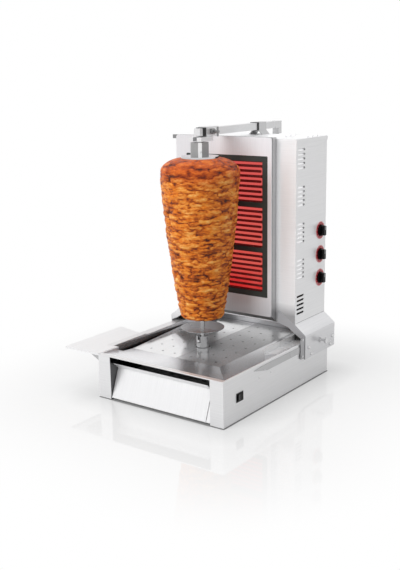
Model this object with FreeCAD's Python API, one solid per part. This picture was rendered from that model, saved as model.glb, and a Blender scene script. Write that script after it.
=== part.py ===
import FreeCAD, Part
import math
import os

os.makedirs("parts", exist_ok=True)
V = FreeCAD.Vector

# Electric doner kebab grill, in millimetres.
# The origin is on the floor under the middle of the base box. +X is the right side seen from the
# front, -Y is the front with the drawer, +Z is up.

# Base box
base_width = 455.0
base_depth = 588.0
base_height = 136.0
sheet = 1.5
rim_radius = 3.0
rim_front = 14.0
rim_side = 5.5
rim_back = 4.0
touch_gap = 0.3
past = 5.0
far = 1000.0
nearly_one = 0.99
nearly_zero = 0.1
air_slots = 5
air_slot_pitch = 22.0
air_slot_length = 80.0
air_slot_width = 6.0
air_slot_setback = 130.0

# Drawer opening and drawer
post_width = 45.0
post_return = 30.0
lintel_height = 3.0
drawer_gap = 2.0
drawer_strip_width = 13.0
drawer_slit = 2.0
drawer_front_foot = 6.0
drawer_lean = 32.5
drawer_panel_top = 92.0
grip_reach = 20.0
grip_rise = 17.0
drawer_front_depth = 44.0
drawer_box_to_spit = 55.0
drawer_box_height = 64.0
drawer_box_inset = 6.0
drawer_lift = 3.5
runner_ledge = 30.0
runner_height = 34.0
runner_foot = 10.0
runner_front_setback = 2.0
runner_back_reach = 8.0

# Drip tray, its two perforated plates and the side gutter
tray_plate_drop = 17.0
tray_floor_drop = 23.0
front_border = 125.0
right_border = 104.0
gutter_front = -208.0
gutter_width = 38.0
gutter_length = 389.0
gutter_drop = 39.0
rail_box_width = 37.0
rail_rim_width = 21.5
rail_box_front = -215.0
plate_seam = 0.6
plate_hole_radius = 3.2
plate_ledge = 6.0
plate_hole_first = 31.0
plate_hole_pitch_x = 46.0
plate_hole_pitch_y = 53.0
drain_radius = 12.0
drain_y = -98.0
shaft_hole_radius = 15.0
plate_holes_shift = 3.0
plate_hole_columns = 4
plate_hole_edge = 6.0
plate_lip_setback = 2.0
coupling_gap = 2.5

# Slide rails on the base
strip_thickness = 2.0
strip_top_drop = 9.0
strip_height = 19.5
strip_front = -142.0
strip_point = 70.0
strip_tip = 4.0
ledge_front = -23.0
ledge_width = 38.0
ledge_bevel = 25.0
fence_height = 18.0
fence_lean = 4.0
fence_slope = 21.0
left_ledge_front = -55.0
left_ledge_width = 8.0
rack_hole_radius = 3.2
rack_pitch = 12.0
rack_holes = 22
rack_hole_inset = 5.0
rack_setback = 6.0
screw_head = 0.9
strip_screw_radius = 2.6
strip_screw_rise = 7.5
strip_screw_y = (-88.0, 60.0, 250.0)
wall_screw_radius = 2.0
wall_screw_y = (-114.0, -51.0)
wall_screw_drop = 41.0

# Side shelf
shelf_width = 136.5
shelf_back = -36.0
shelf_slant = 22.0
shelf_lip = 4.0
bracket_width = 14.0
bracket_height = 60.0
bracket_tip = 6.0
bracket_reach = 95.0
bracket_setbacks = (32.0, 54.0)
rail_bracket_setback = 40.0
rail_bracket_reach = 70.0

# Gear motor under the tray
gearbox_width = 76.0
gearbox_depth = 64.0
gearbox_height = 44.0
gearbox_gap = 8.0
gearbox_corner = 6.0
shaft_seat = 8.0
shaft_in_gearbox = 30.0
shaft_over_plate = 1.0
motor_radius = 29.0
motor_length = 78.0
fan_cover_radius = 26.0
fan_cover_length = 12.0
motor_flange_radius = 20.0
motor_flange_height = 3.0
motor_bracket_depth = 60.0
motor_bracket_half = 45.0
motor_bracket_foot = 25.0
motor_bracket_sheet = 2.0
bearing_flange_radius = 20.0
bearing_flange_height = 2.5
bearing_sleeve_radius = 14.5
bearing_sleeve_drop = 4.0

# Rocker switch and cable gland
switch_y = -214.0
switch_z = 70.0
switch_length = 30.0
switch_height = 23.0
switch_bezel = 1.6
switch_wall = 2.0
switch_depth = 18.0
switch_pivot_depth = 5.0
switch_pivot_radius = 1.5
rocker_end_gap = 3.5
rocker_side_gap = 0.6
rocker_high_end = 4.4
rocker_low_end = 2.6
rocker_middle = 2.2
rocker_foot = 3.0
rocker_keel = 6.5
rocker_pin_reach = 1.4
pocket_floor = 8.0
gland_x = 150.0
gland_z = 50.0
gland_radius = 8.0
gland_nut_radius = 13.0
gland_bore = 5.0
gland_nut_height = 6.0
gland_dome_height = 12.0
gland_flat = 1.5
gland_lip = 0.5
gland_neck = 12.0
gland_back_nut = 10.0
gland_back_flange = 4.0

# Spit
spit_x = -40.0
spit_y = -20.0
rod_radius = 6.35
coupling_radius = 19.5
coupling_height = 36.0
coupling_slot = 5.0
coupling_slot_foot = 15.0
coupling_groove_z = 11.0
coupling_groove = 4.0
coupling_groove_depth = 2.0
coupling_floor = 4.0
socket_play = 0.15
cross_pin_z = 22.0
cross_pin_radius = 3.5
cross_pin_reach = 3.0
rod_tip = 6.0
rod_tip_taper = 3.0
rod_in_bar = 5.0
shaft_radius = 6.0
fit_clearance = 0.05
disc_over_plate = 62.0
bottom_disc_radius = 67.5
bottom_disc_thickness = 2.0
bottom_collar_radius = 11.0
bottom_collar_height = 8.0
meat_over_disc = 35.0
meat_height = 485.0
meat_bottom_radius = 66.5
meat_top_radius = 118.5
meat_shoulder = 46.0
meat_foot = 12.0
meat_belly = 6.0
meat_foot_bulge = (3.6, 3.4)
meat_shoulder_bulge = (14.0, 12.0)
meat_under_disc = 6.0
disc_to_meat = 2.0
top_disc_radius = 56.5
top_disc_thickness = 6.0
spike_circle = 32.0
spike_radius = 3.0
spike_length = 1.7
spike_angles = (23, 143, 264)
hub_width = 42.0
hub_depth = 50.0
hub_bevel = 8.0
hub_height = 40.5
hub_to_fork = 3.1
hub_screw_rise = 13.0
hub_screw_radius = 2.8
hub_screw_sunk = 1.0

# Heating tower
spit_to_panel = 135.0
panel_depth = 27.0
panel_cap = 5.0
control_width = 63.0
panel_gap = 6.0
box_depth = 188.0
tower_lift = 51.5
panel_lift = 18.5
panel_corner = 8.0
shadow_gap = 3.0
flange_depth = 3.0
tower_travel = 70.0
spindle_hole = 5.0
left_return = 12.0
frame_rim = 4.0
frame_lip = 8.0
lid_skirt = 12.0
latch_length = 18.0
latch_height = 12.0
latch_depth = 10.0
louvre_radius = 9.0
louvre_rise = 5.0
louvre_wall = 1.0
louvre_rows = 3
louvre_pitch = 30.0
louvre_setback = 100.0
louvre_long = 60.0
louvre_short = 42.0
louvre_mouth = 1.5
louvre_reach = 6.0
louvre_edge = 25.0
back_slot_rows = 6
back_slot_pitch = 16.0
back_slot_length = 60.0
back_slot_drop = 60.0

# Glass, heaters and insulation
glass_side_border = 14.5
glass_top_border = 56.0
glass_foot_border = 60.0
glass_thickness = 4.0
glass_corner = 3.0
glass_play = 0.5
seal_width = 6.0
heater_bars = 8
heater_ribbon = 7.0
heater_thickness = 3.0
heater_side_margin = 22.5
heater_end_margin = 20.4
heater_group_gap = 23.3
heater_pin_radius = 2.0
heater_to_glass = 9.5
board_thickness = 14.0
heater_tray_inset = 4.0
heater_tray_sheet = 1.0
pin_hole_radius = 4.0
board_hole_play = 1.0
pin_reach = 8.0

# Vent slots, dials and knobs on the control side
slot_length = 43.0
slot_height = 6.4
slot_pitch = 13.5
slots_per_group = 5
slot_groups = 5
slot_top_margin = 59.0
slot_foot_margin = 57.3
slot_from_front = 31.5
dial_radius = 28.0
dial_thickness = 1.0
dial_from_front = 153.0
dial_above_foot = 272.5
dial_pitch = 76.0
knob_radius = 18.5
knob_height = 17.0
spindle_radius = 3.0
knob_skirt = 4.0
knob_shoulder = 1.5
knob_taper = 1.5
knob_grip_half = 6.5
knob_grip_foot = 5.0
knob_gap = 0.5
spindle_in = 18.0
regulator_size = 36.0
regulator_depth = 28.0
regulator_trim = 3.0
tab_length = 8.0
tab_half = 10.0
tab_thickness = 1.0
tab_drop = 11.0
regulator_bore_depth = 20.0
terminals = 6
terminal_pitch = 12.0
terminal_rib = 2.0
terminal_depth = 12.0
terminal_height = 22.0
terminal_setback = 60.0
terminal_rise = 40.0

# Saddle brackets that carry the tower on the rails
saddle_sheet = 2.0
saddle_play = 2.0
saddle_flange = 30.0
flare_run = 38.5
flare_drop = 30.5
saddle_skirt = 76.0
yoke_thickness = 2.0
yoke_rise = 36.0
yoke_band = 22.0
yoke_gap = 1.0
yoke_over_rail = 5.0
yoke_elbow_drop = 8.0
yoke_elbow_rise = 2.0
yoke_flange_drop = 12.0
yoke_flange_width = 26.0
yoke_ear_inset = 2.0
yoke_ear_width = 6.0
tongue_reach = 26.0
tongue_foot_rise = 6.0
tongue_top_drop = 4.0
tongue_bolt_setback = 16.0
tongue_bolt_rise = 12.0
tongue_bolt_drop = 41.0
tongue_bolt_radius = 3.6
tongue_bolt_height = 1.8
shoe_height = 15.0
shoe_side_gap = 5.5
shoe_end_gap = 8.0
bolt_radius = 5.0
bolt_height = 3.5
bolt_taper = 1.5
washer_rim = 1.5
washer_height = 0.8
front_bolts = ((21.0, 21.0), (37.0, 46.0))
back_bolts = ((13.0, 22.0), (28.0, 45.0))
lock_radius = 4.0
lock_disc_radius = 9.5
lock_disc_height = 5.0
lock_reach = 20.0
lock_nut_height = 6.0
grip_groove_count = 10
grip_groove_radius = 1.6
grip_groove_out = 0.6

# Upper arm that steadies the spit
bar_width = 24.0
bar_height = 22.0
bar_wall = 2.0
cap_thickness = 3.0
cap_inset = 1.0
cap_plug = 12.0
bar_gap_over_tower = 15.0
bar_front_overhang = 12.0
column_depth = 18.0
column_clearance = 7.0
sleeve_wall = 1.5
sleeve_play = 0.4
support_length = 43.0
support_setback = 2.0
support_leg_top = 3.0
support_leg_foot = 4.0
support_foot = 52.0
block_wall = 3.0
block_length = 61.0
block_setback = 15.0
block_screw_setback = 26.0
block_screw_radius = 4.0
block_screw_end = 4.0
collar_gap = 2.0
fork_under_block = 22.0
fork_size = 46.0
fork_thickness = 12.0
fork_gap = 0.55
tee_radius = 3.0
tee_length = 28.0
tee_reach = 22.0
collar_radius = 8.5
collar_height = 8.0

# Bracket that holds the arm's column on the back of the base
column_foot_z = 20.0
foot_plate_half = 42.0
foot_plate_low = 14.0
foot_plate_high = 118.0
foot_plate_thickness = 3.0
foot_bolt_inset = 9.0
foot_bolt_rise = 12.0
foot_bolt_height = 4.0
foot_bolt_radius = 5.5
foot_cheek_low = (20.0, 45.0)
foot_cheek_high = (112.0, 85.0)
foot_web_z = 50.0

# Values worked out from the sizes above
half_width = base_width / 2
half_depth = base_depth / 2
inner_half_width = half_width - sheet
opening_half = half_width - post_width
drawer_left = -opening_half + drawer_gap
drawer_box_front = -half_depth + drawer_front_depth
drawer_box_back = spit_y - drawer_box_to_spit
drawer_right = opening_half - drawer_gap
drawer_panel_right = drawer_right - drawer_strip_width - drawer_slit
rim_z = base_height - sheet
plate_z = base_height - tray_plate_drop
tray_floor_z = base_height - tray_floor_drop
gutter_z = base_height - gutter_drop
rail_left_x = -half_width - rail_box_width
rail_rim_x = rail_left_x + rail_rim_width
tray_back = half_depth - rim_back
tray_plate_back = tray_back - sheet - 2 * touch_gap
gearbox_top = tray_floor_z - sheet - gearbox_gap
gearbox_low = gearbox_top - gearbox_height
rod_bore = rod_radius + fit_clearance
shaft_bore = shaft_radius + fit_clearance
bottom_disc_z = plate_z + disc_over_plate
meat_bottom_z = bottom_disc_z + meat_over_disc
meat_top_z = meat_bottom_z + meat_height
top_disc_z = meat_top_z + disc_to_meat
hub_bottom_z = top_disc_z + top_disc_thickness
coupling_z = plate_z + shaft_over_plate
hub_top_z = hub_bottom_z + hub_height
fork_bottom = hub_top_z + hub_to_fork
hub_screw_way = (math.sqrt(0.5), -math.sqrt(0.5), 0)
bar_bottom = fork_bottom + fork_thickness + block_wall + sleeve_play
bar_top = bar_bottom + bar_height
tower_top = bar_bottom - bar_gap_over_tower
saddle_in_right = half_width + strip_thickness + saddle_play
saddle_out_right = saddle_in_right + saddle_sheet
saddle_out_left = rail_left_x - strip_thickness - saddle_play - saddle_sheet
tower_right = saddle_out_right - flare_run
tower_left = saddle_out_left + flare_run
tower_middle = (tower_left + tower_right) / 2
control_left = tower_right - control_width
panel_right = control_left - panel_gap
panel_front = spit_y + spit_to_panel
box_front = panel_front + panel_depth
tower_back = box_front + box_depth
tower_bottom = base_height + tower_lift
panel_bottom = tower_bottom + panel_lift
panel_top = tower_top + panel_cap
glass_right = panel_right - glass_side_border
glass_left = 2 * spit_x - glass_right
glass_bottom = panel_bottom + glass_foot_border
glass_top = panel_top - glass_top_border
glass_height = glass_top - glass_bottom
glass_front = panel_front + glass_play
glass_back = glass_front + glass_thickness
heater_front = glass_back + heater_to_glass
heater_height = (glass_height - 2 * heater_end_margin - 2 * heater_group_gap) / 3
heater_pitch = (heater_height - heater_ribbon) / (heater_bars - 1)
heater_spacing = heater_height + heater_group_gap
board_front = heater_front + heater_thickness
board_back = board_front + board_thickness
slot_group_top = tower_top - slot_top_margin
slot_group_pitch = (slot_group_top - tower_bottom - slot_foot_margin) / (slot_groups - 1)
dial_top_z = tower_bottom + dial_above_foot
bar_front = spit_y - bar_front_overhang
column_front = tower_back + sheet + tower_travel + column_clearance
column_back = column_front + column_depth
lock_y = (box_front + tower_back) / 2 - 4
lock_z = base_height - 13
switch_pivot_x = half_width - switch_pivot_depth


def box(x0, x1, y0, y1, z0, z1):
    return Part.makeBox(x1 - x0, y1 - y0, z1 - z0, V(x0, y0, z0))


def rod(start, direction, radius, length):
    return Part.makeCylinder(radius, length, V(*start), V(*direction))


def place(a, b, axis, at):
    """A point of a flat outline, set on the plane square to the axis."""
    if axis == "X":
        return V(at, a, b)
    if axis == "Y":
        return V(a, at, b)
    return V(a, b, at)


def prism(points, axis, start, end):
    """A flat outline drawn out along an axis, from start to end."""
    corners = [place(a, b, axis, start) for a, b in points]
    face = Part.Face(Part.makePolygon(corners + corners[:1]))
    return face.extrude(place(0, 0, axis, end) - place(0, 0, axis, start))


def offset_path(path, thickness):
    """The same folded line, moved to its left by the sheet's thickness, with mitred corners."""
    directions = []
    for (a0, b0), (a1, b1) in zip(path, path[1:]):
        length = math.hypot(a1 - a0, b1 - b0)
        directions.append(((a1 - a0) / length, (b1 - b0) / length))
    moved = []
    for index, (a, b) in enumerate(path):
        before = directions[max(index - 1, 0)]
        after = directions[min(index, len(directions) - 1)]
        middle = (-(before[1] + after[1]), before[0] + after[0])
        size = math.hypot(*middle)
        scale = thickness * 2 / size ** 2
        moved.append((a + middle[0] * scale, b + middle[1] * scale))
    return moved


def folded_sheet(path, thickness, axis, start, end):
    return prism(path + offset_path(path, thickness)[::-1], axis, start, end)


def joined(shapes):
    solid = shapes[0]
    if len(shapes) > 1:
        solid = solid.multiFuse(shapes[1:])
    return solid.removeSplitter()


def save(name, shape):
    solids = shape.Solids
    result = solids[0] if len(solids) == 1 else Part.makeCompound(solids)
    result.exportStep("parts/" + name + ".step")
    print(name, len(solids), round(result.Volume / 1000, 1), "cm3", result.isValid())


def rounded_plate(x0, x1, z0, z1, y0, y1, radius):
    plate = box(x0, x1, y0, y1, z0, z1)
    upright = [e for e in plate.Edges if abs(e.tangentAt(e.FirstParameter).y) > nearly_one]
    return plate.makeFillet(radius, upright)


def slot_along_y(x0, x1, y_middle, z_middle, length, height):
    """A round-ended slot through a wall that faces X."""
    radius = height / 2
    half = length / 2 - radius
    bar = box(x0, x1, y_middle - half, y_middle + half, z_middle - radius, z_middle + radius)
    ends = [rod((x0, y_middle + side * half, z_middle), (1, 0, 0), radius, x1 - x0) for side in (-1, 1)]
    return joined([bar] + ends)


def slot_along_x(y0, y1, x_middle, z_middle, length, height):
    """A round-ended slot through a wall that faces Y."""
    radius = height / 2
    half = length / 2 - radius
    bar = box(x_middle - half, x_middle + half, y0, y1, z_middle - radius, z_middle + radius)
    ends = [rod((x_middle + side * half, y0, z_middle), (0, 1, 0), radius, y1 - y0) for side in (-1, 1)]
    return joined([bar] + ends)


# Base box


def base_shell():
    outer = box(-half_width, half_width, -half_depth, half_depth, 0, base_height)
    side_edges = []
    for edge in outer.Edges:
        centre = edge.CenterOfMass
        if abs(centre.z - base_height) < nearly_zero and abs(abs(centre.x) - half_width) < nearly_zero:
            side_edges.append(edge)
    outer = outer.makeFillet(rim_radius, side_edges)
    inner_depth = half_depth - sheet
    room = box(-inner_half_width, inner_half_width, -inner_depth, inner_depth, -past, rim_z)
    shell = outer.cut(room)
    above = base_height + past
    cuts = [
        box(-half_width + rim_side, half_width - rim_side, -half_depth + rim_front, tray_back, rim_z - 1,
            above),
        box(-opening_half, opening_half, -half_depth - past, -inner_depth + 1, -past, base_height - lintel_height),
        box(-half_width - past, -half_width + rim_side, rail_box_front, tray_back, gutter_z - 2 * sheet, above),
        box(half_width - rim_side - 1, inner_half_width, ledge_front, tray_back, rim_z - 1, above),
        box(inner_half_width - past, half_width + past, switch_y - switch_length / 2, switch_y + switch_length / 2,
            switch_z - switch_height / 2, switch_z + switch_height / 2),
        rod((gland_x, inner_depth - past, gland_z), (0, 1, 0), gland_radius, 4 * past),
    ]
    shell = shell.cut(cuts)
    returns = []
    for side in (-1, 1):
        edge = side * opening_half
        x0, x1 = sorted((edge, edge + side * sheet))
        returns.append(box(x0, x1, -inner_depth, -inner_depth + post_return, 0, tray_floor_z - sheet))
    return joined([shell] + returns)


def bottom_plate():
    inner_depth = half_depth - sheet
    plate = box(-inner_half_width, inner_half_width, -inner_depth, inner_depth, 0, sheet)
    notch_half = opening_half + sheet
    front_notch = box(-notch_half, notch_half, -half_depth, -inner_depth + post_return, -past, past)
    half = air_slot_length / 2
    vents = []
    for row in range(air_slots):
        y = spit_y + air_slot_setback + row * air_slot_pitch
        vents.append(box(spit_x - half, spit_x + half, y, y + air_slot_width, -past, past))
    return plate.cut([front_notch] + vents)


# Drip tray


plate_front = -half_depth + rim_front + front_border
plate_right = half_width - rim_side - right_border


def border_drop(distance):
    """How far the tray's right border has sunk at a distance from the rim."""
    return (rim_z - plate_z) * distance / (right_border - touch_gap)


def gutter_outline(grow):
    """A narrow triangle; growing it moves each of its sides outwards by the same amount."""
    x = rail_rim_x - grow
    y = gutter_front - grow
    slope = gutter_width / gutter_length
    wider = grow * (1 + slope + math.hypot(1, slope))
    return [(x, y), (x + gutter_width + wider, y), (x, y + gutter_length + wider / slope)]


def tray_space(drop, grow):
    """The open room of the pan; with a drop and a growth, the outside of its sheet.

    The borders slope down to the plates, which lie flush in a rebate with a ledge round it.
    """
    top = rim_z - drop
    left = -half_width + rim_side - grow
    right = half_width - rim_side + grow
    front = -half_depth + rim_front - grow
    back = tray_back + grow / 2
    low_right = plate_right + touch_gap + grow
    low_front = plate_front - touch_gap - grow
    plates = plate_z - drop
    rebate = plate_z - sheet - drop
    floor = tray_floor_z - drop

    def ring(x0, x1, y0, y1, z):
        corners = [V(x0, y0, z), V(x1, y0, z), V(x1, y1, z), V(x0, y1, z)]
        return Part.makePolygon(corners + corners[:1])

    upper = ring(left, right, front, back, top)
    lower = ring(left, low_right, low_front, back, plates)
    dish = Part.makeLoft([upper, lower], True, True)
    recess = box(left, low_right, low_front, back, rebate, plate_z + 1)
    well = box(left, low_right - plate_ledge, low_front + plate_ledge, back, floor, plate_z + 1)
    side_back = tray_back - touch_gap - sheet + grow
    side = box(rail_rim_x - grow, left + rim_side, gutter_front - grow, side_back, floor, rim_z)
    gutter = prism(gutter_outline(grow), "Z", gutter_z - drop, rim_z)
    shapes = [dish, recess, well, side, gutter]
    if drop > 0:
        shapes.append(box(left, right, front, back, top, rim_z))
    return joined(shapes)


def tray_pan():
    pan = tray_space(sheet, sheet).cut(tray_space(0, 0))
    shaft_hole = rod((spit_x, spit_y, 0), (0, 0, 1), shaft_hole_radius, base_height)
    drain = rod((spit_x, drain_y, 0), (0, 0, 1), drain_radius, base_height)
    return pan.cut([shaft_hole, drain])


def gutter_edge_x(y):
    """The left plate's edge follows the slanted side of the gutter."""
    share = (y - gutter_front) / gutter_length
    return rail_rim_x + gutter_width * max(0.0, 1 - share)


def tray_plate(side):
    front = plate_front
    back = tray_plate_back
    top = plate_z
    if side < 0:
        inner = spit_x - plate_seam
        closing = gutter_front + gutter_length
        outline = [(inner, front), (inner, back), (rail_rim_x + touch_gap, back),
                   (rail_rim_x + touch_gap, closing), (gutter_edge_x(front), front)]
    else:
        inner = spit_x + plate_seam
        outer = plate_right
        outline = [(inner, front), (outer, front), (outer, back), (inner, back)]
    plate = prism(outline, "Z", top - sheet, top)
    holes = [rod((spit_x, spit_y, 0), (0, 0, 1), coupling_radius + coupling_gap, base_height)]
    for column in range(plate_hole_columns):
        x = spit_x + side * (plate_hole_first + column * plate_hole_pitch_x)
        for row in range(-2, 6):
            y = spit_y + plate_holes_shift + row * plate_hole_pitch_y
            edge_ok = x > gutter_edge_x(y) + plate_hole_edge and x < plate_right - plate_ledge
            if edge_ok and y > front + plate_hole_edge:
                holes.append(rod((x, y, 0), (0, 0, 1), plate_hole_radius, base_height))
    lip_x0, lip_x1 = sorted((inner, inner + side * sheet))
    lip_front = front + plate_ledge + plate_lip_setback
    lip = box(lip_x0, lip_x1, lip_front, back, tray_floor_z, plate_z - sheet)
    return joined([plate, lip]).cut(holes)


# Slide rails


def strip_outline():
    """Side view of the guide strip, with its pointed front end."""
    top = base_height - strip_top_drop
    low = top - strip_height
    return [(strip_front, top - strip_tip), (strip_front + strip_point, low), (half_depth, low),
            (half_depth, top), (strip_front + strip_point / 2, top)]


def rail_right():
    strip = prism(strip_outline(), "X", half_width, half_width + strip_thickness)
    inner = half_width - sheet - ledge_width
    outer = inner_half_width
    corner = ledge_front + ledge_bevel
    ledge = prism([(inner, ledge_front), (outer, corner), (outer, tray_back), (inner, tray_back)],
                  "Z", rim_z, base_height)
    filler = box(half_width - rim_side, inner_half_width, ledge_front, corner + 1, rim_z, base_height)
    slope_drop = border_drop(half_width - rim_side - inner - sheet)
    skirt = box(inner, inner + sheet, ledge_front + 1, tray_back, rim_z - slope_drop + touch_gap, rim_z)
    nose = prism([(inner, ledge_front), (outer, corner), (outer, corner + 2 * sheet),
                  (inner, ledge_front + 2 * sheet)], "Z", rim_z - 2 * slope_drop, rim_z)
    room = tray_space(0, 0)
    room.translate(V(0, 0, touch_gap))
    skirt = joined([skirt, nose.common(room)])
    holes = []
    for index in range(rack_holes):
        y = corner + rack_setback + index * rack_pitch
        holes.append(rod((outer - rack_hole_inset, y, 0), (0, 0, 1), rack_hole_radius, base_height + past))
    fence_top = rim_z + fence_height
    fence = prism([(ledge_front, rim_z), (ledge_front - fence_lean, fence_top - fence_lean),
                   (ledge_front + fence_slope, fence_top), (tray_back, fence_top), (tray_back, rim_z)],
                  "X", inner, inner + sheet)
    ledge = joined([ledge, filler, skirt, fence]).cut(holes)
    return strip, ledge


def rail_left():
    top = prism([(rail_left_x, rail_box_front), (rail_rim_x, rail_box_front), (rail_rim_x, left_ledge_front),
                 (rail_rim_x + left_ledge_width, left_ledge_front + left_ledge_width),
                 (rail_rim_x + left_ledge_width, tray_back), (rail_left_x, tray_back)],
                "Z", rim_z, base_height)
    front_top = box(rail_rim_x, -half_width + rim_side, rail_box_front, gutter_front, rim_z, base_height)
    low = gutter_z - 2 * sheet - touch_gap
    wall = box(rail_left_x, rail_left_x + sheet, rail_box_front, tray_back, low, rim_z)
    floor = box(rail_left_x, -half_width, rail_box_front, tray_back, low - sheet, low)
    front = box(rail_left_x, -half_width, rail_box_front, rail_box_front + sheet, low, rim_z)
    back = box(rail_left_x, -half_width, tray_back, tray_back + sheet, low - sheet, base_height)
    strip = prism(strip_outline(), "X", rail_left_x - strip_thickness, rail_left_x)
    return joined([top, front_top, wall, floor, front, back]), strip


def rail_screws():
    shapes = []
    z = base_height - strip_top_drop - strip_height + strip_screw_rise
    wall_z = base_height - wall_screw_drop
    for y in strip_screw_y:
        shapes.append(rod((half_width + strip_thickness, y, z), (1, 0, 0), strip_screw_radius, screw_head))
        shapes.append(rod((rail_left_x - strip_thickness, y, z), (-1, 0, 0), strip_screw_radius, screw_head))
    for y in wall_screw_y:
        shapes.append(rod((half_width, y, wall_z), (1, 0, 0), wall_screw_radius, screw_head))
    return shapes


# Side shelf


def side_shelf():
    x0 = -half_width - shelf_width
    x1 = -half_width - touch_gap
    x2 = rail_left_x - touch_gap
    outline = [(x0, -half_depth), (x1, -half_depth), (x1, rail_box_front - touch_gap),
               (x2, rail_box_front - touch_gap), (x2, shelf_back - shelf_slant), (x0, shelf_back)]
    deck = prism(outline, "Z", rim_z, base_height)
    low = rim_z - shelf_lip
    hem_left = box(x0, x0 + sheet, -half_depth, shelf_back, low, rim_z)
    hem_front = box(x0, -half_width - touch_gap, -half_depth, -half_depth + sheet, low, rim_z)
    return joined([deck, hem_left, hem_front])


def shelf_bracket(x, y, height, reach):
    """A strip screwed to the wall at x, with a gusset that carries the shelf."""
    wall = box(x - sheet, x, y, y + bracket_width, rim_z - height, rim_z)
    middle = y + (bracket_width - sheet) / 2
    arm = prism([(x - sheet, rim_z), (x - reach, rim_z), (x - reach, rim_z - bracket_tip),
                 (x - sheet, rim_z - height + bracket_tip)], "Y", middle, middle + sheet)
    return joined([wall, arm])


def shelf_brackets():
    shapes = [shelf_bracket(-half_width, -half_depth + setback, bracket_height, bracket_reach)
              for setback in bracket_setbacks]
    rail_y = rail_box_front + rail_bracket_setback
    shapes.append(shelf_bracket(rail_left_x, rail_y, rim_z - gutter_z, rail_bracket_reach))
    return Part.makeCompound(shapes)


# Drawer


def drawer_front():
    """A hollow front whose leaning panel has a grip lip and, on its right, a strip beside a slit."""
    left = drawer_left
    right = drawer_right
    panel_right = drawer_panel_right
    foot = (-half_depth + sheet, drawer_front_foot)
    top = (-half_depth + sheet + drawer_lean, drawer_panel_top)
    lip = (top[0] - grip_reach, top[1] + grip_rise)
    panel = folded_sheet([lip, top, foot], sheet, "X", left, panel_right)
    strip = folded_sheet([top, foot], sheet, "X", right - drawer_strip_width, right)
    back = drawer_box_front
    outline = [foot, top, (back, top[1]), (back, foot[1])]
    cheeks = [prism(outline, "X", x, x + sheet) for x in (left, panel_right - sheet, right - sheet)]
    rear = box(left, right, back - sheet, back, foot[1], top[1])
    bottom = box(left, right, foot[0], back, foot[1], foot[1] + sheet)
    return joined([panel, strip, rear, bottom] + cheeks)


def drawer_box():
    left = drawer_left + drawer_box_inset
    right = drawer_right - drawer_box_inset
    low = sheet + drawer_lift
    outer = box(left, right, drawer_box_front, drawer_box_back, low, low + drawer_box_height)
    inner = box(left + sheet, right - sheet, drawer_box_front + sheet, drawer_box_back - sheet,
                low + sheet, low + drawer_box_height + past)
    return outer.cut(inner)


def drawer_runner(side):
    low = sheet
    ledge_top = low + drawer_lift - touch_gap
    x_wall = opening_half
    front = drawer_box_front + runner_front_setback
    back = drawer_box_back + runner_back_reach
    path = [(x_wall - runner_ledge, ledge_top), (x_wall - sheet, ledge_top),
            (x_wall - sheet, low + runner_height)]
    profile = prism([(side * a, b) for a, b in path + offset_path(path, -sheet)[::-1]], "Y", front, back)
    x0, x1 = sorted((side * (x_wall - runner_ledge), side * x_wall))
    feet_bars = [box(x0, x1, y, y + runner_foot, low, ledge_top - sheet) for y in (front, back - runner_foot)]
    return joined([profile] + feet_bars)


# Drive under the tray


def gear_motor():
    half_x = gearbox_width / 2
    half_y = gearbox_depth / 2
    middle = gearbox_low + gearbox_height / 2
    gearbox = box(spit_x - half_x, spit_x + half_x, spit_y - half_y, spit_y + half_y,
                  gearbox_low, gearbox_top)
    corners = [e for e in gearbox.Edges if abs(e.tangentAt(e.FirstParameter).z) > nearly_one]
    gearbox = gearbox.makeFillet(gearbox_corner, corners)
    motor = rod((spit_x, spit_y + half_y, middle), (0, 1, 0), motor_radius, motor_length)
    motor_end = spit_y + half_y + motor_length
    fan_cover = rod((spit_x, motor_end, middle), (0, 1, 0), fan_cover_radius, fan_cover_length)
    flange = rod((spit_x, spit_y, gearbox_top), (0, 0, 1), motor_flange_radius, motor_flange_height)
    bore = rod((spit_x, spit_y, gearbox_low + shaft_seat), (0, 0, 1), shaft_bore, gearbox_height)
    return joined([gearbox, motor, fan_cover, flange]).cut(bore)


def motor_bracket():
    """A bridge of folded strip that carries the gearbox over the bottom plate."""
    low = sheet
    top = gearbox_low - motor_bracket_sheet
    foot = motor_bracket_half + motor_bracket_foot
    half_y = motor_bracket_depth / 2
    path = [(spit_x - foot, low), (spit_x - motor_bracket_half, low), (spit_x - motor_bracket_half, top),
            (spit_x + motor_bracket_half, top), (spit_x + motor_bracket_half, low), (spit_x + foot, low)]
    return folded_sheet(path, motor_bracket_sheet, "Y", spit_y - half_y, spit_y + half_y)


def shaft_bearing():
    floor = tray_floor_z
    reach = sheet + bearing_sleeve_drop
    flange = rod((spit_x, spit_y, floor), (0, 0, 1), bearing_flange_radius, bearing_flange_height)
    sleeve = rod((spit_x, spit_y, floor - reach), (0, 0, 1), bearing_sleeve_radius, reach)
    bore = rod((spit_x, spit_y, floor - reach - past), (0, 0, 1), shaft_bore, reach + bearing_flange_height + 2 * past)
    return joined([flange, sleeve]).cut(bore)


# Switch and cable gland


def switch_frame():
    y0 = switch_y - switch_length / 2
    y1 = switch_y + switch_length / 2
    z0 = switch_z - switch_height / 2
    z1 = switch_z + switch_height / 2
    edge = switch_bezel
    bezel = box(half_width, half_width + edge, y0 - edge, y1 + edge, z0 - edge, z1 + edge)
    back = half_width - switch_depth
    body = box(back, half_width, y0 + touch_gap, y1 - touch_gap, z0 + touch_gap, z1 - touch_gap)
    pocket = box(back + pocket_floor, half_width + past, y0 + switch_wall, y1 - switch_wall,
                 z0 + switch_wall, z1 - switch_wall)
    pivot_bore = switch_pivot_radius + fit_clearance
    pivot = rod((switch_pivot_x, switch_y, z0 + 1), (0, 0, 1), pivot_bore, switch_height - 2)
    return joined([bezel, body]).cut([pocket, pivot])


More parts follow.
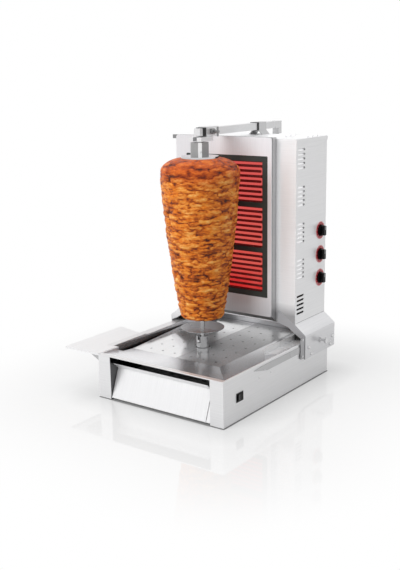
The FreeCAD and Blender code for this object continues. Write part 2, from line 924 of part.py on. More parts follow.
def switch_rocker():
    """Seen from above, the rocker's face is a shallow V round an upright pivot."""
    half = switch_length / 2 - rocker_end_gap
    x = half_width
    foot = x - rocker_foot
    z0 = switch_z - switch_height / 2 + switch_wall + rocker_side_gap
    z1 = switch_z + switch_height / 2 - switch_wall - rocker_side_gap
    outline = [(foot, switch_y - half), (x + rocker_high_end, switch_y - half), (x + rocker_middle, switch_y),
               (x + rocker_low_end, switch_y + half), (foot, switch_y + half), (x - rocker_keel, switch_y)]
    pin = rod((switch_pivot_x, switch_y, z0 - rocker_pin_reach), (0, 0, 1), switch_pivot_radius,
              z1 - z0 + 2 * rocker_pin_reach)
    return joined([prism(outline, "Z", z0, z1), pin])


def hexagon(a, b, radius):
    """The corners of a nut's outline round the point a, b."""
    return [(a + radius * math.cos(math.radians(60 * k)), b + radius * math.sin(math.radians(60 * k)))
            for k in range(6)]


def cable_gland():
    y = half_depth
    nut_end = y + gland_nut_height
    nut = prism(hexagon(gland_x, gland_z, gland_nut_radius), "Y", y, nut_end)
    dome = Part.makeCone(gland_nut_radius - gland_flat, gland_radius + gland_lip, gland_dome_height,
                         V(gland_x, nut_end, gland_z), V(0, 1, 0))
    neck = rod((gland_x, y - gland_neck, gland_z), (0, 1, 0), gland_radius - fit_clearance, gland_neck)
    inner_nut = rod((gland_x, y - gland_back_nut, gland_z), (0, 1, 0), gland_radius + gland_back_flange,
                    gland_back_nut - sheet)
    bore = rod((gland_x, y - gland_neck - past, gland_z), (0, 1, 0), gland_bore,
               gland_neck + gland_nut_height + gland_dome_height + 2 * past)
    return joined([nut, dome, neck, inner_nut]).cut(bore)


# Spit and kebab


def drive_shaft():
    low = gearbox_top - shaft_in_gearbox
    return rod((spit_x, spit_y, low), (0, 0, 1), shaft_radius, coupling_z - low)


def drive_coupling():
    body = rod((spit_x, spit_y, coupling_z), (0, 0, 1), coupling_radius, coupling_height)
    groove_foot = (spit_x, spit_y, coupling_z + coupling_groove_z)
    groove = rod(groove_foot, (0, 0, 1), coupling_radius + past, coupling_groove).cut(
        rod(groove_foot, (0, 0, 1), coupling_radius - coupling_groove_depth, coupling_groove))
    slot = box(spit_x - coupling_slot, spit_x + coupling_slot, spit_y - coupling_radius - past,
               spit_y + coupling_radius + past, coupling_z + coupling_slot_foot, coupling_z + coupling_height + past)
    socket = rod((spit_x, spit_y, coupling_z + coupling_floor), (0, 0, 1), rod_radius + socket_play, coupling_height)
    return body.cut([groove, slot, socket])


def cross_pin():
    reach = coupling_radius + cross_pin_reach
    pin = rod((spit_x, spit_y - reach, coupling_z + cross_pin_z), (0, 1, 0), cross_pin_radius, 2 * reach)
    return pin.cut(rod((spit_x, spit_y, coupling_z), (0, 0, 1), rod_radius, 2 * cross_pin_z))


def spit_rod():
    low = coupling_z + coupling_floor
    top = bar_bottom - rod_in_bar
    blade = rod((spit_x, spit_y, low), (0, 0, 1), rod_radius, top - rod_tip - low)
    tip = Part.makeCone(rod_radius, rod_radius - rod_tip_taper, rod_tip, V(spit_x, spit_y, top - rod_tip))
    return joined([blade, tip])


def bottom_disc():
    disc = rod((spit_x, spit_y, bottom_disc_z), (0, 0, 1), bottom_disc_radius, bottom_disc_thickness)
    collar = rod((spit_x, spit_y, bottom_disc_z - bottom_collar_height), (0, 0, 1), bottom_collar_radius,
                 bottom_collar_height)
    return joined([disc, collar]).cut(rod((spit_x, spit_y, 0), (0, 0, 1), rod_bore, far))


def meat():
    """The stacked meat: a cone that widens upwards, with a rounded foot and shoulder."""
    r0 = meat_bottom_radius
    r1 = meat_top_radius
    z0 = meat_bottom_z
    z1 = meat_top_z
    shoulder_z = z1 - meat_shoulder
    foot_z = z0 + meat_foot
    inner = top_disc_radius - meat_under_disc
    foot_arc = V(r0 - meat_foot_bulge[0], 0, z0 + meat_foot_bulge[1])
    belly_arc = V((r0 + r1) / 2 + meat_belly, 0, (foot_z + shoulder_z) / 2)
    shoulder_arc = V(r1 - meat_shoulder_bulge[0], 0, z1 - meat_shoulder_bulge[1])
    path = Part.Wire([
        Part.makeLine(V(rod_bore, 0, z0), V(r0 - meat_foot, 0, z0)),
        Part.Arc(V(r0 - meat_foot, 0, z0), foot_arc, V(r0, 0, foot_z)).toShape(),
        Part.Arc(V(r0, 0, foot_z), belly_arc, V(r1, 0, shoulder_z)).toShape(),
        Part.Arc(V(r1, 0, shoulder_z), shoulder_arc, V(inner, 0, z1)).toShape(),
        Part.makeLine(V(inner, 0, z1), V(rod_bore, 0, z1)),
        Part.makeLine(V(rod_bore, 0, z1), V(rod_bore, 0, z0)),
    ])
    solid = Part.Face(path).revolve(V(0, 0, 0), V(0, 0, 1), 360)
    solid.translate(V(spit_x, spit_y, 0))
    return solid


def top_disc():
    z = top_disc_z
    disc = rod((spit_x, spit_y, z), (0, 0, 1), top_disc_radius, top_disc_thickness)
    spikes = []
    for angle in spike_angles:
        x = spit_x + spike_circle * math.cos(math.radians(angle))
        y = spit_y + spike_circle * math.sin(math.radians(angle))
        spikes.append(rod((x, y, z - spike_length), (0, 0, 1), spike_radius, spike_length))
    return joined([disc] + spikes).cut(rod((spit_x, spit_y, 0), (0, 0, 1), rod_bore, far))


def top_hub():
    """A block with bevelled corners and a screw in the front right one."""
    half_x = hub_width / 2
    half_y = hub_depth / 2
    hub = box(spit_x - half_x, spit_x + half_x, spit_y - half_y, spit_y + half_y, hub_bottom_z, hub_top_z)
    upright = [e for e in hub.Edges if abs(e.tangentAt(e.FirstParameter).z) > nearly_one]
    hub = hub.makeChamfer(hub_bevel, upright)
    bore = rod((spit_x, spit_y, 0), (0, 0, 1), rod_bore, far)
    screw_z = hub_bottom_z + hub_screw_rise
    screw_hole = rod((spit_x, spit_y, screw_z), hub_screw_way, hub_screw_radius + touch_gap, hub_depth)
    return hub.cut([bore, screw_hole])


def hub_screw():
    """The screw runs from the rod to just under the bevel."""
    start = V(spit_x, spit_y, hub_bottom_z + hub_screw_rise) + V(*hub_screw_way) * rod_bore
    bevel_reach = (hub_width + hub_depth - 2 * hub_bevel) / 2 / math.sqrt(2)
    return rod(start, hub_screw_way, hub_screw_radius, bevel_reach - rod_radius - hub_screw_sunk)


# Tower


def tower_shell():
    top = tower_top - sheet
    outer = box(tower_left, tower_right, box_front, tower_back, tower_bottom, top)
    inner = box(tower_left + sheet, tower_right - sheet, box_front + sheet, tower_back - sheet,
                tower_bottom - past, top + past)
    shell = outer.cut(inner)
    front_gap = box(tower_left - past, panel_right + touch_gap, box_front - past, box_front + sheet,
                    tower_bottom - past, top + past)
    divider = box(control_left, control_left + sheet, box_front + sheet, tower_back - sheet,
                  tower_bottom, top)
    cuts = [front_gap]
    for group in range(slot_groups):
        for index in range(slots_per_group):
            z = slot_group_top - group * slot_group_pitch + (slots_per_group / 2 - 0.5 - index) * slot_pitch
            cuts.append(slot_along_y(tower_right - past, tower_right + past, box_front + slot_from_front, z,
                                     slot_length, slot_height))
    for index in range(3):
        z = dial_top_z - index * dial_pitch
        cuts.append(rod((tower_right - past, box_front + dial_from_front, z), (1, 0, 0), spindle_hole, 2 * past))
    left_room = control_left - tower_left
    for row in range(back_slot_rows):
        z = tower_top - back_slot_drop - row * back_slot_pitch
        for x in (tower_left + left_room / 4, tower_left + left_room * 3 / 4):
            cuts.append(slot_along_x(tower_back - past, tower_back + past, x, z, back_slot_length, slot_height))
        x = (control_left + sheet + tower_right) / 2
        cuts.append(slot_along_x(tower_back - past, tower_back + past, x, z, slot_length, slot_height))
    left_wall_return = box(tower_left, tower_left + left_return, box_front, box_front + sheet, tower_bottom, top)
    return joined([shell.cut(cuts), divider, left_wall_return])


def louvre_hood(x, y, length):
    """A pressed hood: part of a thin-walled roll, open at its back."""
    z = tower_top
    radius = louvre_radius
    wall = louvre_wall
    axis_z = z - radius + louvre_rise
    outer = rod((x, y, axis_z), (1, 0, 0), radius, length)
    inner = rod((x + wall, y, axis_z), (1, 0, 0), radius - wall, length - 2 * wall)
    keep = box(x - 1, x + length + 1, y - radius, y + louvre_mouth, z, z + louvre_rise + 2)
    return outer.common(keep).cut(inner)


def top_cover():
    x0 = tower_left - sheet
    x1 = tower_right + sheet
    y1 = tower_back + sheet
    deck = box(x0, x1, box_front, y1, tower_top - sheet, tower_top)
    low = tower_top - lid_skirt
    skirts = [
        box(x0, tower_left, box_front, y1, low, tower_top),
        box(tower_right, x1, box_front - sheet, y1, low, tower_top),
        box(x0, x1, tower_back, y1, low, tower_top),
        box(control_left, x1, box_front - sheet, box_front, low, tower_top),
    ]
    hoods = []
    slots = []
    long_x = control_left - louvre_long - louvre_edge
    short_x = (control_left + tower_right - louvre_short) / 2
    for x, length in ((long_x, louvre_long), (short_x, louvre_short)):
        for row in range(louvre_rows):
            y = tower_back - louvre_setback + louvre_pitch * row
            hoods.append(louvre_hood(x, y, length))
            slots.append(box(x + louvre_wall, x + length - louvre_wall, y - louvre_reach, y + louvre_mouth,
                             tower_top - past, tower_top))
    return joined([joined([deck] + skirts).cut(slots)] + hoods)


def bottom_cover():
    plate = box(tower_left + sheet, tower_right - sheet, box_front + sheet, tower_back - sheet,
                tower_bottom, tower_bottom + sheet)
    divider_slot = box(control_left, control_left + sheet, 0, far, 0, far)
    return plate.cut(divider_slot)


def front_panel():
    back = panel_front + flange_depth
    plate = rounded_plate(tower_left, panel_right, panel_bottom, panel_top, panel_front, back, panel_corner)
    hollow = rounded_plate(tower_left + sheet, panel_right - sheet, panel_bottom + sheet, panel_top - sheet,
                           panel_front + sheet, back + past, panel_corner - sheet)
    window = rounded_plate(glass_left - glass_play, glass_right + glass_play, glass_bottom - glass_play,
                           glass_top + glass_play, panel_front - past, back + past, glass_corner)
    return plate.cut([hollow, window])


def panel_frame():
    """The deep frame behind the front panel, with a shadow gap and a bottom that slants to the tower."""
    core_front = panel_front + flange_depth
    ring_front = core_front + shadow_gap
    inset = shadow_gap
    hole_inset = shadow_gap + frame_rim
    core = box(tower_left + inset, panel_right - inset, core_front, ring_front, panel_bottom + inset,
               panel_top - inset)
    hole = box(tower_left + hole_inset, panel_right - hole_inset, 0, far, panel_bottom + hole_inset,
               panel_top - hole_inset)
    outline = [(ring_front, panel_bottom), (box_front, tower_bottom), (box_front, panel_top),
               (ring_front, panel_top)]
    inner = [(ring_front - 1, panel_bottom + sheet + 1), (box_front + 1, tower_bottom + sheet),
             (box_front + 1, panel_top - sheet), (ring_front - 1, panel_top - sheet)]
    ring = prism(outline, "X", tower_left, panel_right).cut(
        prism(inner, "X", tower_left + sheet, panel_right - sheet))
    face = box(tower_left + sheet, panel_right - sheet, ring_front, ring_front + sheet,
               panel_bottom + 1, panel_top - sheet)
    lip = box(tower_left, panel_right, box_front - sheet, box_front, tower_top - frame_lip, panel_top)
    return joined([core.cut(hole), ring, face.cut(hole), lip])


def glass_seal():
    y0 = panel_front + sheet
    ring = box(glass_left - seal_width, glass_right + seal_width, y0, glass_back,
               glass_bottom - seal_width, glass_top + seal_width)
    hole = box(glass_left - glass_play, glass_right + glass_play, 0, far, glass_bottom - glass_play,
               glass_top + glass_play)
    return ring.cut(hole)


def heater_glass():
    return rounded_plate(glass_left, glass_right, glass_bottom, glass_top, glass_front, glass_back,
                         glass_corner)


def heater_middle(index):
    return glass_bottom + glass_height / 2 + (1 - index) * heater_spacing


def pin_points():
    x = glass_right - heater_side_margin - heater_ribbon
    points = []
    for index in range(3):
        for side in (-1, 1):
            points.append((x, heater_middle(index) + side * heater_pitch * (heater_bars - 1) / 2))
    return points


def heater_tray():
    lap = seal_width
    edge = heater_tray_inset
    inner = heater_tray_inset + heater_tray_sheet
    flange = box(glass_left - lap, glass_right + lap, glass_back, glass_back + heater_tray_sheet,
                 glass_bottom - lap, glass_top + lap)
    pan = box(glass_left + edge, glass_right - edge, glass_back, board_back + heater_tray_sheet,
              glass_bottom + edge, glass_top - edge)
    room = box(glass_left + inner, glass_right - inner, glass_back - past, board_back,
               glass_bottom + inner, glass_top - inner)
    holes = [rod((x, 0, z), (0, 1, 0), pin_hole_radius, far) for x, z in pin_points()]
    return joined([flange, pan]).cut([room] + holes)


def insulation_board():
    inset = heater_tray_inset + heater_tray_sheet
    board = box(glass_left + inset, glass_right - inset, board_front, board_back, glass_bottom + inset,
                glass_top - inset)
    holes = [rod((x, 0, z), (0, 1, 0), heater_pin_radius + board_hole_play, far) for x, z in pin_points()]
    return board.cut(holes)


def heater(index):
    """A ribbon that runs to and fro eight times, with its two ends and their pins on the right."""
    middle = heater_middle(index)
    half = heater_ribbon / 2
    left = glass_left + heater_side_margin
    right = glass_right - heater_side_margin
    turn = heater_pitch / 2
    y0 = heater_front
    y1 = board_front
    bars = []
    first = middle + heater_pitch * (heater_bars - 1) / 2
    for bar in range(heater_bars):
        z = first - bar * heater_pitch
        end = right if bar in (0, heater_bars - 1) else right - turn - half
        bars.append(box(left + turn + half, end, y0, y1, z - half, z + half))
    for bar in range(heater_bars - 1):
        z = first - (bar + 0.5) * heater_pitch
        x = left + turn + half if bar % 2 == 0 else right - turn - half
        ring = rod((x, y0, z), (0, 1, 0), turn + half, y1 - y0).cut(
            rod((x, y0, z), (0, 1, 0), turn - half, y1 - y0))
        reach = turn + half + 1
        if bar % 2 == 0:
            keep = box(x - reach, x, y0 - 1, y1 + 1, z - reach, z + reach)
        else:
            keep = box(x, x + reach, y0 - 1, y1 + 1, z - reach, z + reach)
        bars.append(ring.common(keep))
    pins = [rod((x, y1 - 1, z), (0, 1, 0), heater_pin_radius, 1 + board_thickness + pin_reach)
            for x, z in pin_points()[2 * index:2 * index + 2]]
    return joined(bars + pins)


def dial_plates():
    y = box_front + dial_from_front
    shapes = []
    for index in range(3):
        z = dial_top_z - index * dial_pitch
        plate = rod((tower_right, y, z), (1, 0, 0), dial_radius, dial_thickness)
        shapes.append(plate.cut(rod((tower_right - past, y, z), (1, 0, 0), spindle_hole, 2 * past)))
    return Part.makeCompound(shapes)


def knob(index):
    """A round skirt with a tapered grip on it that is flat on both sides, on a long spindle."""
    y = box_front + dial_from_front
    z = dial_top_z - index * dial_pitch
    x = tower_right + dial_thickness + knob_gap
    skirt = rod((x, y, z), (1, 0, 0), knob_radius, knob_skirt)
    grip_radius = knob_radius - knob_shoulder
    body = Part.makeCone(grip_radius, grip_radius - knob_taper, knob_height - knob_skirt,
                         V(x + knob_skirt, y, z), V(1, 0, 0))
    reach = 2 * knob_radius
    side_cuts = []
    for side in (-1, 1):
        y0, y1 = sorted((y + side * knob_grip_half, y + side * reach))
        side_cuts.append(box(x + knob_grip_foot, x + reach, y0, y1, z - reach, z + reach))
    spindle = rod((tower_right - sheet - spindle_in, y, z), (1, 0, 0), spindle_radius,
                  spindle_in + sheet + dial_thickness + 2 * knob_gap)
    return joined([skirt, body.cut(side_cuts), spindle])


def regulators():
    y = box_front + dial_from_front
    half = regulator_size / 2
    x1 = tower_right - sheet
    shapes = []
    for index in range(3):
        z = dial_top_z - index * dial_pitch
        back = x1 - regulator_depth
        body = box(back, x1, y - half, y + half - regulator_trim, z - half, z + half)
        tab = box(back - tab_length, back, y - tab_half, y + tab_half, z - tab_drop - tab_thickness, z - tab_drop)
        bore = rod((x1 - regulator_bore_depth, y, z), (1, 0, 0), spindle_radius + fit_clearance, far)
        shapes.append(joined([body, tab]).cut(bore))
    return Part.makeCompound(shapes)


def terminal_block():
    x0 = control_left + sheet
    x1 = x0 + terminal_depth
    y0 = box_front + terminal_setback
    y1 = y0 + terminals * terminal_pitch + terminal_rib
    z0 = tower_bottom + terminal_rise
    z1 = z0 + terminal_height
    base = box(x0, x1, y0, y1, z0, z1)
    ribs = []
    for index in range(terminals + 1):
        y = y0 + index * terminal_pitch
        ribs.append(box(x1, x1 + terminal_depth / 2, y, y + terminal_rib, z0, z1))
    return joined([base] + ribs)


def top_latch():
    """A catch on the left side of the panel's frame, at its top."""
    front = panel_front + flange_depth + shadow_gap
    return box(tower_left - latch_length, tower_left, front, front + latch_depth, panel_top - latch_height,
               panel_top)


# Saddle brackets


def mirrored(points, side):
    """Outlines are drawn for the right side and mirrored about the tower's middle for the left."""
    if side > 0:
        return points
    return [(2 * tower_middle - a, b) for a, b in points]


def saddle_front(side):
    if side > 0:
        return box_front
    return panel_front + flange_depth


def saddle(side):
    fold_z = tower_bottom - flare_drop
    low = fold_z - saddle_skirt
    inner_path = [(tower_right - saddle_flange, tower_bottom), (tower_right, tower_bottom),
                  (saddle_out_right, fold_z), (saddle_out_right, low)]
    outline = inner_path + offset_path(inner_path, -saddle_sheet)[::-1]
    front = saddle_front(side)
    wrap = prism(mirrored(outline, side), "Y", box_front, tower_back)
    extra = None
    if side < 0:
        outer_path = inner_path[1:]
        thin = outer_path + offset_path(outer_path, -saddle_sheet)[::-1]
        extra = prism(mirrored(thin, side), "Y", front, box_front)
    return wrap if extra is None else joined([wrap, extra])


def yoke(side):
    """The front collar of the saddle: a band that follows the flare down to a bolting flange."""
    fold_z = tower_bottom - flare_drop
    low = fold_z - saddle_skirt
    out = saddle_out_right
    inner = half_width + strip_thickness + yoke_gap
    front = saddle_front(side)
    outline = [(tower_right, tower_bottom), (out, fold_z), (out, low), (inner, low),
               (inner, base_height + yoke_over_rail), (out - yoke_band, fold_z - yoke_elbow_drop),
               (tower_right, fold_z + yoke_elbow_rise), (tower_right - yoke_band, tower_bottom - yoke_flange_drop)]
    if side > 0:
        top = tower_bottom + yoke_rise
        ear = control_left + yoke_ear_inset
        outline += [(ear, tower_bottom - yoke_thickness), (ear, top), (ear + yoke_ear_width, top)]
    else:
        outline += [(tower_right - yoke_flange_width, tower_bottom)]
    collar = prism(mirrored(outline, side), "Y", front - yoke_thickness, front)
    if side < 0:
        return collar
    tongue = box(inner, inner + sheet, front - tongue_reach, front, low + tongue_foot_rise, fold_z - tongue_top_drop)
    return joined([collar, tongue])


def saddle_with_yoke(side):
    x = saddle_in_right - past if side > 0 else saddle_out_left - past
    screw_hole = rod((x, lock_y, lock_z), (1, 0, 0), lock_radius + fit_clearance, 2 * past + saddle_sheet)
    return joined([saddle(side), yoke(side)]).cut(screw_hole)


def slide_shoe(side):
    """Nylon shoe that runs on top of the rail and carries the tower's weight."""
    top = tower_bottom
    low = base_height + touch_gap
    right = saddle_in_right - shoe_side_gap
    left = half_width - ledge_width + touch_gap
    wall = tower_right - saddle_sheet
    outline = [(left, low), (right, low), (right, low + shoe_height), (wall, low + shoe_height),
               (wall, top - saddle_sheet), (left, top - saddle_sheet)]
    return prism(mirrored(outline, side), "Y", box_front + shoe_end_gap, tower_back - shoe_end_gap)


def saddle_bolts():
    shapes = [lock_nut(-1), lock_nut(1)]
    tongue_face = half_width + strip_thickness + yoke_gap + sheet
    for z in (base_height + tongue_bolt_rise, base_height - tongue_bolt_drop):
        shapes.append(rod((tongue_face, box_front - tongue_bolt_setback, z), (1, 0, 0), tongue_bolt_radius,
                          tongue_bolt_height))
    for side in (-1, 1):
        x = saddle_out_right if side > 0 else saddle_out_left
        for setback, drop in front_bolts:
            shapes.append(bolt_head(x, box_front + setback, base_height - drop, side))
        for setback, drop in back_bolts:
            shapes.append(bolt_head(x, tower_back - setback, base_height - drop, side))
    return Part.makeCompound(shapes)


def bolt_head(x, y, z, side):
    washer = rod((x, y, z), (side, 0, 0), bolt_radius + washer_rim, washer_height)
    dome = Part.makeCone(bolt_radius, bolt_radius - bolt_taper, bolt_height, V(x + side * washer_height, y, z),
                         V(side, 0, 0))
    return joined([washer, dome])


def lock_screw(side):
    """Thumb screw with a round head, held in a nut on the saddle's outside."""
    x = saddle_out_right if side > 0 else saddle_out_left
    inside = saddle_play + saddle_sheet - touch_gap
    start = x - side * inside
    shaft = rod((start, lock_y, lock_z), (side, 0, 0), lock_radius, inside + lock_reach)
    head = rod((x + side * lock_reach, lock_y, lock_z), (side, 0, 0), lock_disc_radius, lock_disc_height)
    grooves = []
    groove_start = x + side * (lock_reach - past)
    out = lock_disc_radius + grip_groove_out
    for k in range(grip_groove_count):
        angle = 2 * math.pi * k / grip_groove_count
        grooves.append(rod((groove_start, lock_y + out * math.cos(angle), lock_z + out * math.sin(angle)),
                           (side, 0, 0), grip_groove_radius, lock_disc_height + 2 * past))
    return joined([shaft, head.cut(grooves)])


def lock_nut(side):
    x = saddle_out_right if side > 0 else saddle_out_left
    nut = prism(hexagon(lock_y, lock_z, 2 * lock_radius), "X", x, x + side * lock_nut_height)
    return nut.cut(rod((x - side * past, lock_y, lock_z), (side, 0, 0), lock_radius + fit_clearance, far))


# Upper arm


def arm_bar():
    x0 = spit_x - bar_width / 2
    x1 = spit_x + bar_width / 2
    outer = box(x0, x1, bar_front + cap_thickness, column_back, bar_bottom, bar_top)
    inner = box(x0 + bar_wall, x1 - bar_wall, bar_front - past, column_back - bar_wall, bar_bottom + bar_wall,
                bar_top - bar_wall)
    return outer.cut(inner)


def arm_cap():
    x0 = spit_x - bar_width / 2
    x1 = spit_x + bar_width / 2
    plate_back = bar_front + cap_thickness
    plate = box(x0 + cap_inset, x1 - cap_inset, bar_front, plate_back, bar_bottom + cap_inset, bar_top - cap_inset)
    plug = box(x0 + bar_wall, x1 - bar_wall, plate_back, plate_back + cap_plug, bar_bottom + bar_wall,
               bar_top - bar_wall)
    return joined([plate, plug])


def arm_column():
    x0 = spit_x - bar_width / 2
    x1 = spit_x + bar_width / 2
    outer = box(x0, x1, column_front, column_back, column_foot_z, bar_bottom)
    inner = box(x0 + bar_wall, x1 - bar_wall, column_front + bar_wall, column_back - bar_wall,
                column_foot_z - past, bar_bottom - bar_wall)
    return outer.cut(inner)


def column_bracket():
    """Two tapered cheeks welded to a plate on the back of the base hold the foot of the column."""
    plate_back = half_depth + foot_plate_thickness
    half = foot_plate_half
    plate = box(spit_x - half, spit_x + half, half_depth, plate_back, foot_plate_low, foot_plate_high)
    cheeks = []
    for side in (-1, 1):
        x = spit_x + side * bar_width / 2
        x0, x1 = sorted((x, x + side * foot_plate_thickness))
        outline = [(plate_back, foot_cheek_low[0]), (column_back, foot_cheek_low[1]),
                   (column_back, foot_cheek_high[1]), (plate_back, foot_cheek_high[0])]
        cheeks.append(prism(outline, "X", x0, x1))
    web = box(spit_x - bar_width / 2, spit_x + bar_width / 2, plate_back, column_front,
              foot_web_z, foot_web_z + foot_plate_thickness)
    return joined([plate, web] + cheeks)


def bracket_bolts():
    shapes = []
    y = half_depth + foot_plate_thickness
    reach = foot_plate_half - foot_bolt_inset
    for x in (spit_x - reach, spit_x + reach):
        for z in (foot_plate_low + foot_bolt_rise, foot_plate_high - foot_bolt_rise):
            shapes.append(Part.makeCone(foot_bolt_radius, foot_bolt_radius - bolt_taper, foot_bolt_height,
                                        V(x, y, z), V(0, 1, 0)))
    return shapes


def arm_support():
    """A hat-shaped bracket on the tower top with a sleeve that slides along the bar."""
    y1 = tower_back - support_setback
    y0 = y1 - support_length
    half_foot = support_foot / 2
    inner_half = bar_width / 2 + sleeve_play
    outer_half = inner_half + sleeve_wall
    low = bar_bottom - sleeve_play
    sleeve_low = low - sleeve_wall
    legs = []
    for side in (-1, 1):
        leg = [(half_foot, tower_top), (outer_half, sleeve_low), (outer_half - support_leg_top, sleeve_low),
               (half_foot - support_leg_foot, tower_top)]
        legs.append(prism([(spit_x + side * a, b) for a, b in leg], "Y", y0, y1))
    sleeve = box(spit_x - outer_half, spit_x + outer_half, y0, y1, sleeve_low, bar_top + sleeve_play + sleeve_wall)
    hole = box(spit_x - inner_half, spit_x + inner_half, y0 - past, y1 + past, low, bar_top + sleeve_play)
    return joined(legs + [sleeve.cut(hole)])


def bearing_block():
    """Sleeve on the bar with a fork under it that holds the tip of the spit."""
    inner_half = bar_width / 2 + sleeve_play
    outer_half = inner_half + block_wall
    y0 = spit_y + block_setback
    y1 = y0 + block_length
    low = bar_bottom - sleeve_play - block_wall
    high = bar_top + sleeve_play + block_wall
    sleeve = box(spit_x - outer_half, spit_x + outer_half, y0, y1, low, high)
    hole = box(spit_x - inner_half, spit_x + inner_half, y0 - past, y1 + past, bar_bottom - sleeve_play,
               bar_top + sleeve_play)
    half = fork_size / 2
    fork = box(spit_x - half, spit_x + half, spit_y - half, y0 + fork_under_block, fork_bottom, low)
    notch = box(spit_x - rod_radius - fork_gap, spit_x + rod_radius + fork_gap, spit_y - half - past, spit_y,
                fork_bottom - past, low + past)
    seat = rod((spit_x, spit_y, fork_bottom - past), (0, 0, 1), rod_radius + fork_gap, fork_thickness + 2 * past)
    thread = rod((spit_x, y0 + block_screw_setback, (low + high) / 2), (1, 0, 0), block_screw_radius + fit_clearance,
                 far)
    return joined([sleeve.cut(hole), fork.cut([notch, seat])]).cut(thread)


def block_screw():
    inner_half = bar_width / 2 + sleeve_play
    outer_half = inner_half + block_wall
    y = spit_y + block_setback + block_screw_setback
    z = (bar_bottom + bar_top) / 2
    start = spit_x + inner_half
    shaft = rod((start, y, z), (1, 0, 0), block_screw_radius, block_wall + tee_reach + block_screw_end)
    collar = rod((spit_x + outer_half + collar_gap, y, z), (1, 0, 0), collar_radius, collar_height)
    tee = rod((start + block_wall + tee_reach, y, z - tee_length / 2), (0, 0, 1), tee_radius, tee_length)
    return joined([shaft, collar, tee])


strip_right, ledge_right = rail_right()
rail_box, strip_left = rail_left()

save("base_shell", base_shell())
save("bottom_plate", bottom_plate())
save("tray_pan", tray_pan())
save("tray_plate_left", tray_plate(-1))
save("tray_plate_right", tray_plate(1))
save("guide_strips", Part.makeCompound([strip_left, strip_right]))
save("rack_ledge_right", ledge_right)
save("rail_box_left", rail_box)
save("base_screws", Part.makeCompound(rail_screws() + bracket_bolts()))
save("side_shelf", side_shelf())
save("shelf_brackets", shelf_brackets())
save("drawer_front", drawer_front())
save("drawer_box", drawer_box())
save("drawer_runners", Part.makeCompound([drawer_runner(-1), drawer_runner(1)]))
save("gear_motor", gear_motor())
save("motor_bracket", motor_bracket())
save("shaft_bearing", shaft_bearing())
save("switch_frame", switch_frame())
save("switch_rocker", switch_rocker())
save("cable_gland", cable_gland())
save("drive_shaft", drive_shaft())
save("drive_coupling", drive_coupling())
save("spit_rod", spit_rod())
save("bottom_disc", bottom_disc())
save("meat", meat())
save("top_disc", top_disc())
save("top_hub", top_hub())
save("spit_pins", Part.makeCompound([cross_pin(), hub_screw()]))
save("tower_shell", tower_shell())
save("top_cover", top_cover())
save("bottom_cover", bottom_cover())
save("front_panel", front_panel())
save("panel_frame", panel_frame())
save("glass_seal", glass_seal())
save("heater_glass", heater_glass())
save("heater_tray", heater_tray())
save("insulation_board", insulation_board())
for number in range(3):
    save("heater_" + str(number + 1), heater(number))
    save("knob_" + str(number + 1), knob(number))
save("dial_plates", dial_plates())
save("regulators", regulators())
save("terminal_block", terminal_block())
save("top_latch", top_latch())
for side_name, side_sign in (("left", -1), ("right", 1)):
    save("saddle_" + side_name, saddle_with_yoke(side_sign))
    save("lock_screw_" + side_name, lock_screw(side_sign))
save("slide_shoes", Part.makeCompound([slide_shoe(-1), slide_shoe(1)]))
save("saddle_bolts", saddle_bolts())
save("arm_bar", joined([arm_bar(), arm_cap()]))
save("arm_column", arm_column())
save("column_bracket", column_bracket())
save("arm_support", arm_support())
save("bearing_block", bearing_block())
save("block_screw", block_screw())
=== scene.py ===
import math
import random

import bmesh
import bpy
from mathutils import Matrix, Vector, kdtree, noise


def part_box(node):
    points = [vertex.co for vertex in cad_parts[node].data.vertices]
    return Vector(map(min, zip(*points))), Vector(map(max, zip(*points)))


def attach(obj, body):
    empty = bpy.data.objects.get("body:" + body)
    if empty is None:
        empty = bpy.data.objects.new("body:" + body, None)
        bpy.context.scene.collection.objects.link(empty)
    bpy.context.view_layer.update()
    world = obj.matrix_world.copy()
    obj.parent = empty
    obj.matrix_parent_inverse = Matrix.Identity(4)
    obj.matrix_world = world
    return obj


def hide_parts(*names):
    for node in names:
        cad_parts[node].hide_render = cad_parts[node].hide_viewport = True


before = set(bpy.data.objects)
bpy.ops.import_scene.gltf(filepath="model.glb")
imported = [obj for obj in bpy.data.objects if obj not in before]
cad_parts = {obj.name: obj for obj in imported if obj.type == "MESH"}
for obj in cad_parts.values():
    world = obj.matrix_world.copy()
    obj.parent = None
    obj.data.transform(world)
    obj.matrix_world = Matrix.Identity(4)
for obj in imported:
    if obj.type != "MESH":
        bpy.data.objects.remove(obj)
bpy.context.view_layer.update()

# Electric doner kebab grill. Metres, in the CAD's own frame: the floor is z = 0, the front is -Y.

# Camera, as fitted to the photo
CAMERA_PLACE = (1.51248, -2.12529, 0.94494)
CAMERA_YAW = 36.53
CAMERA_PITCH = 13.52
CAMERA_ROLL = -0.98
FOCAL_PIXELS = 877.13
LONG_SIDE = 570
SENSOR = 36.0

# Kebab: its plain form in metres, and how finely its mesh is cut
MEAT_FOOT_RADIUS = 0.0665
MEAT_SHOULDER_RADIUS = 0.1185
MEAT_TOP_RADIUS = 0.0505
MEAT_FOOT_RISE = 0.012
MEAT_SHOULDER_DROP = 0.046
MEAT_SHOULDER_POWER = 2.3
MEAT_BOW = 0.024
ROD_RADIUS = 0.0066
MEAT_COLUMNS = 360
MEAT_ROWS = 250
MEAT_CAP_RINGS = 10

